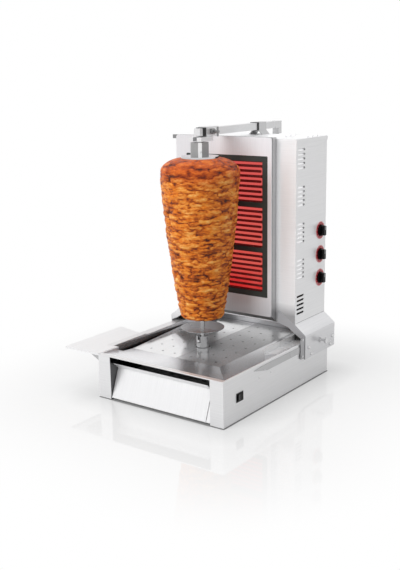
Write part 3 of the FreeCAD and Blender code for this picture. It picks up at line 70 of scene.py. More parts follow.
# Slices on the kebab. Pairs are ranges that random draws come from, in radians, rows or metres
SEED = 7
SLICES_ROUND = 12
SLICES_ROUND_CHANGES = (-2, -1, 0, 1, 2)
SLICES_TRIED = 8
SLICE_RISE_FOOT = 0.0068
SLICE_RISE_TOP = 0.0135
SLICE_TURN_SHIFT = (-0.3, 0.3)
SLICE_ROW_SHIFT = (-0.36, 0.36)
SLICE_HALF_ANGLE = (0.22, 0.46)
SLICE_HALF_ROW = (0.62, 1.15)
SLICE_TILT = (-0.30, 0.30)
SLICE_LIFT = (-0.0013, 0.0013)
SLICE_BULGE = (0.0022, 0.0042)
SLICE_LEAN = 0.0012
SLICES_SUNK = 0.0016
CREASE_WIDTH = 0.0021
CREASE_DEPTH = 0.0030
NEXT_SLICE_DEPTH = 0.0034
CALM_SHARE = 0.7
CALM_RANGE = (0.90, 0.99)
CAP_DIP = 0.0012
CAP_DIP_SIZE = 0.012

# Waves on the kebab: how much each adds, its size in metres, and an offset that sets its pattern apart
ROW_WAVES = ((0.50, 0.040, 0), (0.16, 0.010, 9))
TURN_WAVES = ((0.10, 0.020, 30),)
GRAIN_WAVES = ((0.0005, 0.0055, 50),)
BODY_WAVES = ((0.0012, 0.05, 70),)
CHAR_AND_SHADE_WAVES = ((1.0, 0.014, 110),)
GLAZE_WAVES = ((1.0, 0.030, 140), (0.4, 0.012, 170))
REDNESS_WAVES = ((0.05, 0.05, 5),)

# Tone level of the kebab: what its parts add or take, and the ranges over which they set in. The darkening
# in the creases, under the slice above, is painted shade, partly the roast's char; the paler slice middles
# are partly a painted highlight
LEVEL_START = 0.20
LEVEL_ROUND = 0.20
LEVEL_CHANCE = 0.16
LEVEL_CREASE_SHADE = 0.36
LEVEL_FIBRES = 0.15
LEVEL_PATCHES = 0.36
ROUND_RANGE = (-0.5, 0.9)
UNDER_SHADE_LEAST = 0.30
UNDER_SHADE_RANGE = (-0.3, 0.7)
CHAR_AND_SHADE_LEAST = 0.10
CHAR_AND_SHADE_RANGE = (-0.10, 0.30)
GLAZE_MOST = 0.8
GLAZE_RANGE = (0.02, 0.40)
REDNESS_MOST = 0.85
REDNESS_RANGE = (0.82, 0.93)

# Colours as they look in the photo, in 0-255. Those of the meat stand each at a tone level
SLICE_TONES = ((0.26, (58, 20, 6)), (0.42, (122, 52, 14)), (0.56, (196, 96, 22)),
               (0.70, (232, 144, 54)), (0.92, (250, 200, 118)))
GLAZE_TONES = ((0.26, (66, 22, 6)), (0.44, (150, 62, 10)), (0.62, (222, 118, 26)), (0.92, (244, 166, 66)))
CRUST_TONES = ((0.26, (60, 18, 8)), (0.46, (140, 50, 16)), (0.68, (200, 88, 28)), (0.92, (232, 136, 64)))
DIAL_RED = (176, 26, 38)
DIAL_SHADE = (206, 72, 82)
DIAL_RIM = (232, 150, 150)
DIAL_EDGE = (240, 196, 194)
GLASS_GREY = (68, 75, 73)
HEATER_PINK = (240, 98, 88)
HEATER_RED = (222, 44, 44)
HEATER_TOP = (238, 94, 90)
# The board's reds are the heaters' light painted on it
BOARD_DARK = (70, 14, 14)
BOARD_PALE = (104, 22, 22)
BOARD_PAINTED_GLOW = (120, 16, 20)

# Glass: how far its clear windows reach past the heaters, and how much of it still covers them
WINDOW_EDGE = 0.004
WINDOW_ALPHA = 0.12


def linear(colour):
    """A 0-255 display colour as the scene's linear colour with full alpha."""
    parts = []
    for value in colour:
        share = value / 255
        parts.append(share / 12.92 if share <= 0.04045 else ((share + 0.055) / 1.055) ** 2.4)
    return (*parts, 1.0)


def painted(stops):
    """Places and display colours as places and linear colours, for a colour ramp."""
    return [(place, linear(colour)) for place, colour in stops]


def link(obj):
    """The object itself, once it is in the scene."""
    bpy.context.scene.collection.objects.link(obj)
    return obj


# Node trees


class Tree:
    """A short way to write a node tree. What fills a socket is a value or another node's output."""

    def __init__(self, tree):
        self.tree = tree

    def add(self, kind, **settings):
        """A new node with these settings."""
        node = self.tree.nodes.new("ShaderNode" + kind)
        for key, value in settings.items():
            setattr(node, key, value)
        return node

    def join(self, source, target):
        self.tree.links.new(source, target)

    def fill(self, socket, value):
        if isinstance(value, bpy.types.NodeSocket):
            self.join(value, socket)
        else:
            socket.default_value = value

    def math(self, operation, *values):
        node = self.add("Math", operation=operation)
        for socket, value in zip(node.inputs, values):
            self.fill(socket, value)
        return node.outputs[0]

    def mix(self, factor, first, second, blend="MIX"):
        node = self.add("Mix", data_type="RGBA", blend_type=blend)
        self.fill(node.inputs["Factor"], factor)
        self.fill(node.inputs["A"], first)
        self.fill(node.inputs["B"], second)
        return node.outputs["Result"]

    def mix_shaders(self, factor, first, second):
        node = self.add("MixShader")
        self.fill(node.inputs["Fac"], factor)
        self.join(first, node.inputs[1])
        self.join(second, node.inputs[2])
        return node.outputs[0]

    def spread(self, source, low, high, source_low=0.3, source_high=0.7, way="LINEAR"):
        """The source's range mapped on low to high, and held at its ends."""
        node = self.add("MapRange", interpolation_type=way)
        node.inputs["From Min"].default_value = source_low
        node.inputs["From Max"].default_value = source_high
        node.inputs["To Min"].default_value = low
        node.inputs["To Max"].default_value = high
        self.join(source, node.inputs["Value"])
        return node.outputs["Result"]


class Nodes(Tree):
    """The node tree of a new material, with its main shader and its places in the CAD's frame."""

    def __init__(self, name):
        self.material = bpy.data.materials.new(name)
        self.material.use_nodes = True
        super().__init__(self.material.node_tree)
        self.shader = self.tree.nodes["Principled BSDF"]
        self.places = self.add("TexCoord").outputs["Object"]

    def axes(self):
        """The places along each axis, by its name."""
        split = self.add("SeparateXYZ")
        self.join(self.places, split.inputs["Vector"])
        return split.outputs

    def noise(self, scale, detail=3.0, stretch=(1, 1, 1), roughness=0.5):
        mapping = self.add("Mapping")
        mapping.inputs["Scale"].default_value = stretch
        self.join(self.places, mapping.inputs["Vector"])
        node = self.add("TexNoise")
        node.inputs["Scale"].default_value = scale
        node.inputs["Detail"].default_value = detail
        node.inputs["Roughness"].default_value = roughness
        self.join(mapping.outputs["Vector"], node.inputs["Vector"])
        return node.outputs["Fac"]

    def ramp(self, source, stops):
        """The colour between the stops at which the source stands."""
        node = self.add("ValToRGB")
        band = node.color_ramp
        while len(band.elements) < len(stops):
            band.elements.new(0.5)
        for element, (position, colour) in zip(band.elements, stops):
            element.position = position
            element.color = colour
        self.join(source, node.inputs["Fac"])
        return node.outputs["Color"]

    def bump(self, source, strength, distance):
        node = self.add("Bump")
        node.inputs["Strength"].default_value = strength
        node.inputs["Distance"].default_value = distance
        self.join(source, node.inputs["Height"])
        self.join(node.outputs["Normal"], self.shader.inputs["Normal"])

    def colour(self, source):
        self.join(source, self.shader.inputs["Base Color"])

    def rough(self, source):
        self.join(source, self.shader.inputs["Roughness"])

    def set(self, **values):
        """Sets inputs of the main shader, written with _ for a space."""
        for key, value in values.items():
            self.shader.inputs[key.replace("_", " ")].default_value = value


# Materials

BRUSHED_UPRIGHT = (4, 4, 400)
BRUSHED_ACROSS = (400, 4, 4)
BRUSHED_ROUND = (4, 300, 300)
GRAIN_SCALE = 1.6
GRAIN_DETAIL = 4.0
GRAIN_SHARPNESS = 0.7
GRAIN_DARK = 0.93
GRAIN_PALE = 1.04
GRAIN_DEPTH = 0.0004
POLISH_SCALE = 6.0
# Painted highlight on the hub: the facings at which it sets in and is full; then the roughness spread of
# that steel
HIGHLIGHT_FACING = (0.85, 0.97)
BEVEL_UNEVENNESS = 0.03
MOULDED_SCALE = 30.0
MOULDED_DEPTH = 0.0002
MEAT_FIBRES = (230.0, 4.0, (0.5, 0.5, 1.6), 0.6)
MEAT_PATCHES = (64.0, 4.0, (0.5, 0.5, 1.4), 0.62)
MEAT_FIBRE_DEPTH = 0.0012


def grey(value):
    """A linear grey, a touch towards blue."""
    return (value, value, value * 1.01, 1.0)


def banded(m, colour, axis, stops):
    """Painted shade: the colour made darker or lighter along one axis; a stop is a place in metres and a
    factor.
    """
    first, last = stops[0][0], stops[-1][0]
    share = m.spread(m.axes()[axis], 0.0, 1.0, first, last)
    bands = m.ramp(share, [((place - first) / (last - first), grey(factor)) for place, factor in stops])
    return m.mix(1.0, colour, bands, "MULTIPLY")


def patched(m, colour, limits, factor, fade=None):
    """Painted shade: the colour made darker by a factor inside a box of the CAD's frame, in metres.

    A fade holds an axis, where on it the darkening starts, and where it is full.
    """
    places = m.axes()
    shade_masks = []
    for axis, (low, high) in limits.items():
        shade_masks.append(m.math("COMPARE", places[axis], (low + high) / 2, (high - low) / 2))
    if fade:
        axis, start, full = fade
        shade_masks.append(m.spread(places[axis], 0.0, 1.0, start, full))
    shade_mask = shade_masks[0]
    for other in shade_masks[1:]:
        shade_mask = m.math("MULTIPLY", shade_mask, other)
    return m.mix(shade_mask, colour, grey(factor), "MULTIPLY")


def metal(name, tone, roughness, grain=BRUSHED_UPRIGHT, metallic=1.0, bands=(), grain_scale=GRAIN_SCALE,
          unevenness=0.05, bump=0.04, patches=()):
    """Sheet steel: fine brushed lines along one axis, broad, soft unevenness in its polish, and any bands
    and patches of painted shade.
    """
    m = Nodes(name)
    lines = m.noise(grain_scale, GRAIN_DETAIL, grain, GRAIN_SHARPNESS)
    broad = m.noise(POLISH_SCALE, 2.0)
    colour = m.ramp(lines, [(0.25, grey(tone * GRAIN_DARK)), (0.75, grey(tone * GRAIN_PALE))])
    for axis, stops in bands:
        colour = banded(m, colour, axis, stops)
    for patch in patches:
        colour = patched(m, colour, *patch)
    m.colour(colour)
    m.rough(m.spread(broad, roughness - unevenness, roughness + unevenness))
    m.bump(lines, bump, GRAIN_DEPTH)
    m.set(Metallic=metallic)
    return m.material


def bevelled_metal(name, dark_side_tone, highlight_tone, roughness, way):
    """Machined steel with painted light: its bevelled side, facing the given way, is painted pale as a
    highlight, and its other faces dark as shade.
    """
    m = Nodes(name)
    facing = m.add("VectorMath", operation="DOT_PRODUCT")
    m.join(m.add("TexCoord").outputs["Normal"], facing.inputs[0])
    facing.inputs[1].default_value = way
    lines = m.noise(GRAIN_SCALE, GRAIN_DETAIL, BRUSHED_ROUND, GRAIN_SHARPNESS)
    light = m.spread(facing.outputs["Value"], dark_side_tone, highlight_tone, *HIGHLIGHT_FACING)
    m.colour(m.math("MULTIPLY", light, m.spread(lines, GRAIN_DARK, GRAIN_PALE)))
    m.rough(m.spread(lines, roughness - BEVEL_UNEVENNESS, roughness + BEVEL_UNEVENNESS))
    m.set(Metallic=0.5)
    return m.material


def moulded(name, colour, roughness, grain_scale=900.0, bump=0.15, coat=0.0, specular=0.5):
    """Plastic, fibre or enamel: a fine grain and a faint change of tone."""
    m = Nodes(name)
    grain = m.noise(grain_scale, 2.0)
    broad = m.noise(MOULDED_SCALE, 2.0)
    base = linear(colour)
    darker = tuple(0.8 * value for value in base[:3]) + (1.0,)
    lighter = tuple(min(1.0, 1.15 * value + 0.002) for value in base[:3]) + (1.0,)
    m.colour(m.ramp(broad, [(0.3, darker), (0.7, lighter)]))
    m.rough(m.spread(grain, roughness * 0.85, roughness * 1.15))
    m.bump(grain, bump, MOULDED_DEPTH)
    m.set(Coat_Weight=coat, Specular_IOR_Level=specular)
    return m.material


def meat_material():
    """Roast slices: tan in the middle, orange brown towards their edges and dark in the creases. The dark
    creases are painted shade, partly char, and the tan middles partly a painted highlight.
    """
    m = Nodes("roast_meat")
    tone = m.add("Attribute", attribute_name="tone")
    parts = m.add("SeparateColor")
    m.join(tone.outputs["Color"], parts.inputs["Color"])
    fibres = m.spread(m.noise(*MEAT_FIBRES), 0.0, 1.0, 0.34, 0.66)
    patches = m.spread(m.noise(*MEAT_PATCHES), 0.0, 1.0, 0.32, 0.68)
    level = parts.outputs["Red"]
    for source, weight in ((fibres, LEVEL_FIBRES), (patches, LEVEL_PATCHES)):
        level = m.math("MULTIPLY_ADD", source, weight, level)
    colour = m.ramp(level, painted(SLICE_TONES))
    for share, stops in ((parts.outputs["Green"], GLAZE_TONES), (parts.outputs["Blue"], CRUST_TONES)):
        colour = m.mix(share, colour, m.ramp(level, painted(stops)))
    m.colour(colour)
    m.rough(m.spread(fibres, 0.40, 0.64))
    m.bump(fibres, 0.45, MEAT_FIBRE_DEPTH)
    m.set(Specular_IOR_Level=0.3, Subsurface_Weight=0.06, Subsurface_Scale=0.004)
    return m.material


def glass_material():
    """Glass ceramic: an opaque dark border round three clear windows in front of the heaters."""
    m = Nodes("heater_glass")
    places = m.axes()

    def inside(source, start, end):
        """1 where the source lies between start and end, else 0."""
        away = m.math("ABSOLUTE", m.math("SUBTRACT", source, (start + end) / 2))
        return m.math("LESS_THAN", away, (end - start) / 2)

    low_x, high_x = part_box("heater_3")[0].x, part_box("heater_1")[1].x
    across = inside(places["X"], low_x - WINDOW_EDGE, high_x + WINDOW_EDGE)
    windows = 0.0
    for number in (1, 2, 3):
        low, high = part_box("heater_%d" % number)
        window = inside(places["Z"], low.z - WINDOW_EDGE, high.z + WINDOW_EDGE)
        windows = m.math("MAXIMUM", windows, window)
    clear = m.math("MULTIPLY", across, windows)
    m.join(m.spread(clear, 1.0, WINDOW_ALPHA, 0.0, 1.0), m.shader.inputs["Alpha"])
    smudge = m.noise(14.0, 3.0)
    base = linear(GLASS_GREY)
    darker = tuple(0.82 * value for value in base[:3]) + (1.0,)
    m.colour(m.ramp(smudge, [(0.35, darker), (0.65, base)]))
    m.rough(m.spread(smudge, 0.08, 0.2))
    m.set(Specular_IOR_Level=0.25)
    return m.material


def heater_material():
    """The glowing ribbon: pinkish red, deeper towards the foot of the glass."""
    m = Nodes("heater_glow")
    height = m.spread(m.axes()["Z"], 0.0, 1.0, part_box("heater_3")[0].z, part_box("heater_1")[1].z)
    uneven = m.noise(26.0, 2.0, (0.5, 1, 2.0))
    level = m.math("MULTIPLY_ADD", uneven, 0.5, height)
    tones = painted(((0.22, HEATER_RED), (0.55, HEATER_PINK), (1.0, HEATER_TOP)))
    m.join(m.ramp(level, tones), m.shader.inputs["Emission Color"])
    m.set(Base_Color=(0.05, 0.005, 0.005, 1), Roughness=0.8, Emission_Strength=1.0)
    return m.material


def board_material():
    """Fibre board behind the heaters, with their red light painted on it: a dark red tone and a faint red
    glow (painted light).
    """
    m = Nodes("insulation_board")
    fibres = m.noise(240.0, 3.0)
    broad = m.noise(18.0, 2.0)
    m.colour(m.ramp(broad, painted(((0.3, BOARD_DARK), (0.7, BOARD_PALE)))))
    m.bump(fibres, 0.3, 0.0005)
    m.set(Roughness=0.95, Emission_Color=linear(BOARD_PAINTED_GLOW), Emission_Strength=0.28)
    return m.material


def dial_material(centre_x, centre_y, centres_z, radius):
    """Red enamel discs with a paler printed ring near the rim."""
    m = Nodes("dial_enamel")
    places = m.axes()
    flat = m.add("CombineXYZ")
    flat.inputs["X"].default_value = centre_x
    m.join(places["Y"], flat.inputs["Y"])
    m.join(places["Z"], flat.inputs["Z"])
    nearest = 1.0
    for z in centres_z:
        spot = m.add("VectorMath", operation="DISTANCE")
        m.join(flat.outputs["Vector"], spot.inputs[0])
        spot.inputs[1].default_value = (centre_x, centre_y, z)
        nearest = m.math("MINIMUM", nearest, spot.outputs["Value"])
    share = m.spread(nearest, 0.0, 1.0, 0.0, radius)
    rings = painted(((0.70, DIAL_RED), (0.9, DIAL_SHADE), (0.95, DIAL_RIM), (1.0, DIAL_EDGE)))
    m.colour(m.ramp(share, rings))
    m.rough(m.spread(m.noise(60.0, 2.0), 0.25, 0.4))
    return m.material


# Bands of painted shade: an axis, then places along it in metres, each with the factor on the tone there
# Painted shade on the panel: darker towards its foot and towards its left
PANEL_PAINTED_SHADE = [("Z", ((0.19, 0.68), (0.215, 0.70), (0.262, 0.90), (0.34, 1.0), (0.75, 1.0))),
               ("X", ((-0.232, 0.84), (-0.10, 0.84), (0.02, 1.0), (0.20, 1.0)))]
# Painted shade on the tray: darker towards its right, and much darker below the plates' level, in the holes
# and the gutter
TRAY_PAINTED_SHADE = [("X", ((-0.20, 1.0), (-0.06, 1.0), (0.09, 0.55), (0.20, 0.60))),
              ("Z", ((0.090, 0.10), (0.112, 0.10), (0.1165, 1.0), (0.14, 1.0)))]
# Painted shade on the saddle: darker towards its foot
SADDLE_PAINTED_SHADE = [("Z", ((0.07, 0.80), (0.15, 0.86), (0.17, 1.0), (0.20, 1.0)))]

# Patches of painted shade: a box in metres, the factor on the tone inside it, and perhaps a fade
# Painted shade: the whole inside of the base shell dark, and a dark line at its foot for the shadow where
# it meets the floor
PAINTED_SHADE_BASE_INSIDE = ({"X": (-0.2262, 0.2262), "Y": (-0.2927, 0.2927), "Z": (0.0, 0.1347)}, 0.12)
PAINTED_SHADOW_BASE_FOOT = ({"Z": (-0.001, 0.0016)}, 0.25)
# Painted shade: the tower's front edge darker behind the saddle, deepening downwards, and a dark line along
# the tower's foot
PAINTED_SHADE_TOWER_EDGE = ({"Y": (0.1405, 0.1432), "Z": (0.17, 0.30)}, 0.42, ("Z", 0.250, 0.212))
PAINTED_SHADE_TOWER_FOOT = ({"Z": (0.186, 0.1888)}, 0.25)
# Painted shade: the saddle's front tongue and the line of its front fold drawn darker
PAINTED_SHADE_SADDLE_SIDE = ({"X": (0.2300, 0.2340), "Y": (0.112, 0.1395)}, 0.55)
PAINTED_SHADE_SADDLE_FRONT = ({"X": (-0.30, 0.30), "Y": (0.1395, 0.1412)}, 0.55)

ROLLED = {"grain": (260, 6, 6), "metallic": 0.75, "unevenness": 0.06, "bump": 0.03}
POLISHED = {"grain": (1, 1, 60), "grain_scale": 2.0, "unevenness": 0.03, "bump": 0.01}
HUB_HIGHLIGHT_WAY = (0.7071, -0.7071, 0.0)

STEEL_SHEET = metal("brushed_sheet", 0.78, 0.32, metallic=0.5)
STEEL_BASE = metal("base_sheet", 0.80, 0.32, metallic=0.5, patches=[PAINTED_SHADE_BASE_INSIDE, PAINTED_SHADOW_BASE_FOOT])
# The tower's steel: a paler copy of the base's, so that its sides come out brighter (painted light)
TOWER_STEEL_PAINTED_LIGHT = metal("tower_steel_painted_light", 0.95, 0.36, metallic=0.3,
                    patches=[PAINTED_SHADE_TOWER_EDGE, PAINTED_SHADE_TOWER_FOOT])
STEEL_FRONT = metal("brushed_front", 0.88, 0.34, BRUSHED_ACROSS, 0.5)
STEEL_PANEL = metal("panel_sheet", 0.90, 0.38, BRUSHED_ACROSS, 0.12, PANEL_PAINTED_SHADE)
STEEL_TRAY = metal("tray_sheet", 0.82, 0.17, bands=TRAY_PAINTED_SHADE, **ROLLED)
# The two tray plates are one steel: the left copy is paler (painted light), the right one darker (painted
# shade)
PLATE_STEEL_PAINTED_LIGHT = metal("plate_steel_painted_light", 0.86, 0.17, **ROLLED)
PLATE_STEEL_PAINTED_SHADE = metal("plate_steel_painted_shade", 0.60, 0.20, **ROLLED)
# A darker copy of the steel for the guide strips, so that their faces stand out darker than the rim:
# painted shade
STRIP_STEEL_PAINTED_SHADE = metal("strip_steel_painted_shade", 0.50, 0.34, BRUSHED_ACROSS, 0.7)
STEEL_SADDLE = metal("saddle_sheet", 0.86, 0.34, metallic=0.5, bands=SADDLE_PAINTED_SHADE,
                     patches=[PAINTED_SHADE_SADDLE_SIDE, PAINTED_SHADE_SADDLE_FRONT])
STEEL_INNER = metal("plain_sheet", 0.55, 0.42)
STEEL_DARK = metal("shaded_sheet", 0.30, 0.45)
STEEL_BRIGHT = metal("polished_steel", 0.62, 0.10, **POLISHED)
# Darker copies of the polished steel for the bottom disc and the drive under the kebab: painted shade
DISC_STEEL_PAINTED_SHADE = metal("disc_polish_painted_shade", 0.42, 0.28, **POLISHED)
DRIVE_STEEL_PAINTED_SHADE = metal("drive_polish_painted_shade", 0.50, 0.24, **POLISHED)
STEEL_ARM = metal("brushed_tube", 0.74, 0.30, BRUSHED_ROUND, 0.5)
STEEL_HUB = bevelled_metal("hub_steel_painted_highlight", 0.34, 0.95, 0.32, HUB_HIGHLIGHT_WAY)
CAST = moulded("cast_paint", (52, 56, 60), 0.55, 400.0, 0.3)
BLACK = moulded("black_plastic", (4, 4, 5), 0.22, 700.0, 0.05, specular=0.18)
NYLON = moulded("black_nylon", (20, 20, 21), 0.5)
SEAL = moulded("fibre_seal", (30, 30, 32), 0.85, 500.0, 0.4)
CERAMIC = moulded("ceramic_white", (224, 218, 204), 0.4, 300.0, 0.1)
BRONZE = metal("sintered_bronze", 0.55, 0.45)
WHITE_PRINT = moulded("white_print", (244, 244, 244), 0.5, 300.0, 0.05)
# A paler steel for the vent lips: painted light
LIP_STEEL_PAINTED_LIGHT = metal("lip_steel_painted_light", 0.96, 0.3, metallic=0.85)

NODE_MATERIALS = {
    "base_shell": STEEL_BASE, "bottom_plate": STEEL_INNER, "tray_pan": STEEL_TRAY,
    "tray_plate_left": PLATE_STEEL_PAINTED_LIGHT, "tray_plate_right": PLATE_STEEL_PAINTED_SHADE, "guide_strips": STRIP_STEEL_PAINTED_SHADE,
    "rack_ledge_right": STEEL_SHEET, "rail_box_left": STEEL_SHEET, "base_screws": STEEL_BRIGHT,
    "side_shelf": STEEL_FRONT, "shelf_brackets": STEEL_INNER, "drawer_front": STEEL_FRONT,
    "drawer_box": STEEL_INNER, "drawer_runners": STEEL_INNER, "gear_motor": CAST,
    "motor_bracket": STEEL_INNER, "shaft_bearing": BRONZE, "switch_frame": BLACK, "switch_rocker": BLACK,
    "cable_gland": NYLON, "drive_shaft": DRIVE_STEEL_PAINTED_SHADE, "drive_coupling": DRIVE_STEEL_PAINTED_SHADE,
    "spit_rod": STEEL_BRIGHT, "bottom_disc": DISC_STEEL_PAINTED_SHADE, "top_disc": STEEL_BRIGHT, "top_hub": STEEL_HUB,
    "spit_pins": STEEL_SHEET, "tower_shell": TOWER_STEEL_PAINTED_LIGHT, "top_cover": TOWER_STEEL_PAINTED_LIGHT,
    "bottom_cover": STEEL_INNER, "front_panel": STEEL_PANEL, "panel_frame": STEEL_INNER,
    "glass_seal": SEAL, "heater_tray": STEEL_DARK, "regulators": CERAMIC, "terminal_block": CERAMIC,
    "top_latch": STEEL_DARK, "saddle_left": STEEL_SADDLE, "saddle_right": STEEL_SADDLE,
    "lock_screw_left": STEEL_BRIGHT, "lock_screw_right": STEEL_BRIGHT, "slide_shoes": NYLON,
    "saddle_bolts": STEEL_BRIGHT, "arm_bar": STEEL_ARM, "arm_column": STEEL_ARM,
    "column_bracket": STEEL_INNER, "arm_support": STEEL_INNER, "bearing_block": STEEL_SHEET,
    "block_screw": STEEL_DARK, "knob_1": BLACK, "knob_2": BLACK, "knob_3": BLACK,
}


def dress(node, material):
    """Gives a node of the CAD one material all over."""
    for material_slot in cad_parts[node].material_slots:
        material_slot.material = material


def centre(node):
    """The middle of a node's box."""
    low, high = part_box(node)
    return (low + high) / 2


for node_name, node_material in NODE_MATERIALS.items():
    dress(node_name, node_material)
dress("heater_glass", glass_material())
dress("insulation_board", board_material())
heater_glow = heater_material()
for heater_number in (1, 2, 3):
    dress("heater_%d" % heater_number, heater_glow)

dial_low, dial_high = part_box("dial_plates")
dial_radius = (dial_high.y - dial_low.y) / 2
knob_centres = [centre("knob_%d" % number) for number in (1, 2, 3)]
knob_heights = [place.z for place in knob_centres]
dress("dial_plates", dial_material(dial_high.x, knob_centres[0].y, knob_heights, dial_radius))


# Kebab: overlapping slices round the spit


def meat_profile(share):
    """Radius and height of the plain kebab, from the middle of its foot to the middle of its top."""
    low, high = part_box("meat")
    height = high.z - low.z
    z = share * height
    if z < MEAT_FOOT_RISE:
        angle = math.acos(1 - z / MEAT_FOOT_RISE)
        return MEAT_FOOT_RADIUS - MEAT_FOOT_RISE * (1 - math.sin(angle)), low.z + z
    if z > height - MEAT_SHOULDER_DROP:
        rise = (z - height + MEAT_SHOULDER_DROP) / MEAT_SHOULDER_DROP
        spread = MEAT_SHOULDER_RADIUS - MEAT_TOP_RADIUS
        return MEAT_TOP_RADIUS + spread * math.sqrt(max(0.0, 1 - rise ** MEAT_SHOULDER_POWER)), low.z + z
    run = (z - MEAT_FOOT_RISE) / (height - MEAT_SHOULDER_DROP - MEAT_FOOT_RISE)
    bow = MEAT_BOW * run * (1 - run)
    return MEAT_FOOT_RADIUS + (MEAT_SHOULDER_RADIUS - MEAT_FOOT_RADIUS) * run + bow, low.z + z


def smooth(value, low, high):
    """0 below low, 1 above high and an even step in between."""
    share = min(1.0, max(0.0, (value - low) / (high - low)))
    return share * share * (3 - 2 * share)


def slice_row(rise, height):
    """Which row of slices lies at this height: the rows get taller towards the top."""
    growth = (SLICE_RISE_TOP - SLICE_RISE_FOOT) / height
    return math.log(1 + growth * rise / SLICE_RISE_FOOT) / growth


class Slice:
    """One slice on the unrolled kebab: its place and size in radians across and in rows up."""

    def __init__(self, rng, angle, row):
        self.angle = angle
        self.row = row
        self.half_angle = rng.uniform(*SLICE_HALF_ANGLE)
        self.half_row = rng.uniform(*SLICE_HALF_ROW)
        self.tilt = rng.uniform(*SLICE_TILT)
        self.lift = rng.uniform(*SLICE_LIFT)
        self.bulge = rng.uniform(*SLICE_BULGE)
        self.chance = rng.random()

    def shape(self, angle, row):
        """How far the slice stands out here, its roundness and how far up the slice this is."""
        across = (angle - self.angle + math.pi) % (2 * math.pi) - math.pi
        across /= self.half_angle
        up = (row - self.row) / self.half_row + self.tilt * across
        round_part = 1 - abs(across) ** 3 - up * up
        return self.lift + self.bulge * round_part - SLICE_LEAN * up, round_part, up


def slice_place(angle, row):
    """A place in a space where neighbours round the kebab and neighbours up it are equally far apart."""
    reach = SLICES_ROUND / (2 * math.pi)
    return Vector((math.cos(angle) * reach, math.sin(angle) * reach, row))


def lay_slices(height):
    """All slices, and a tree that finds those near a place."""
    rng = random.Random(SEED)
    slices = []
    for row in range(-1, int(slice_row(height, height)) + 2):
        count = SLICES_ROUND + rng.choice(SLICES_ROUND_CHANGES)
        start = rng.random() * 2 * math.pi
        for k in range(count):
            angle = start + 2 * math.pi * (k + rng.uniform(*SLICE_TURN_SHIFT)) / count
            slices.append(Slice(rng, angle % (2 * math.pi), row + rng.uniform(*SLICE_ROW_SHIFT)))
    tree = kdtree.KDTree(len(slices))
    for index, piece in enumerate(slices):
        tree.insert(slice_place(piece.angle, piece.row), index)
    tree.balance()
    return slices, tree


def waved(start, place, z, waves):
    """The start value plus smooth waves at a place on the kebab."""
    value = start
    for amount, size, offset in waves:
        value += amount * noise.noise(Vector((place.x / size, place.y / size, z / size + offset)))
    return value


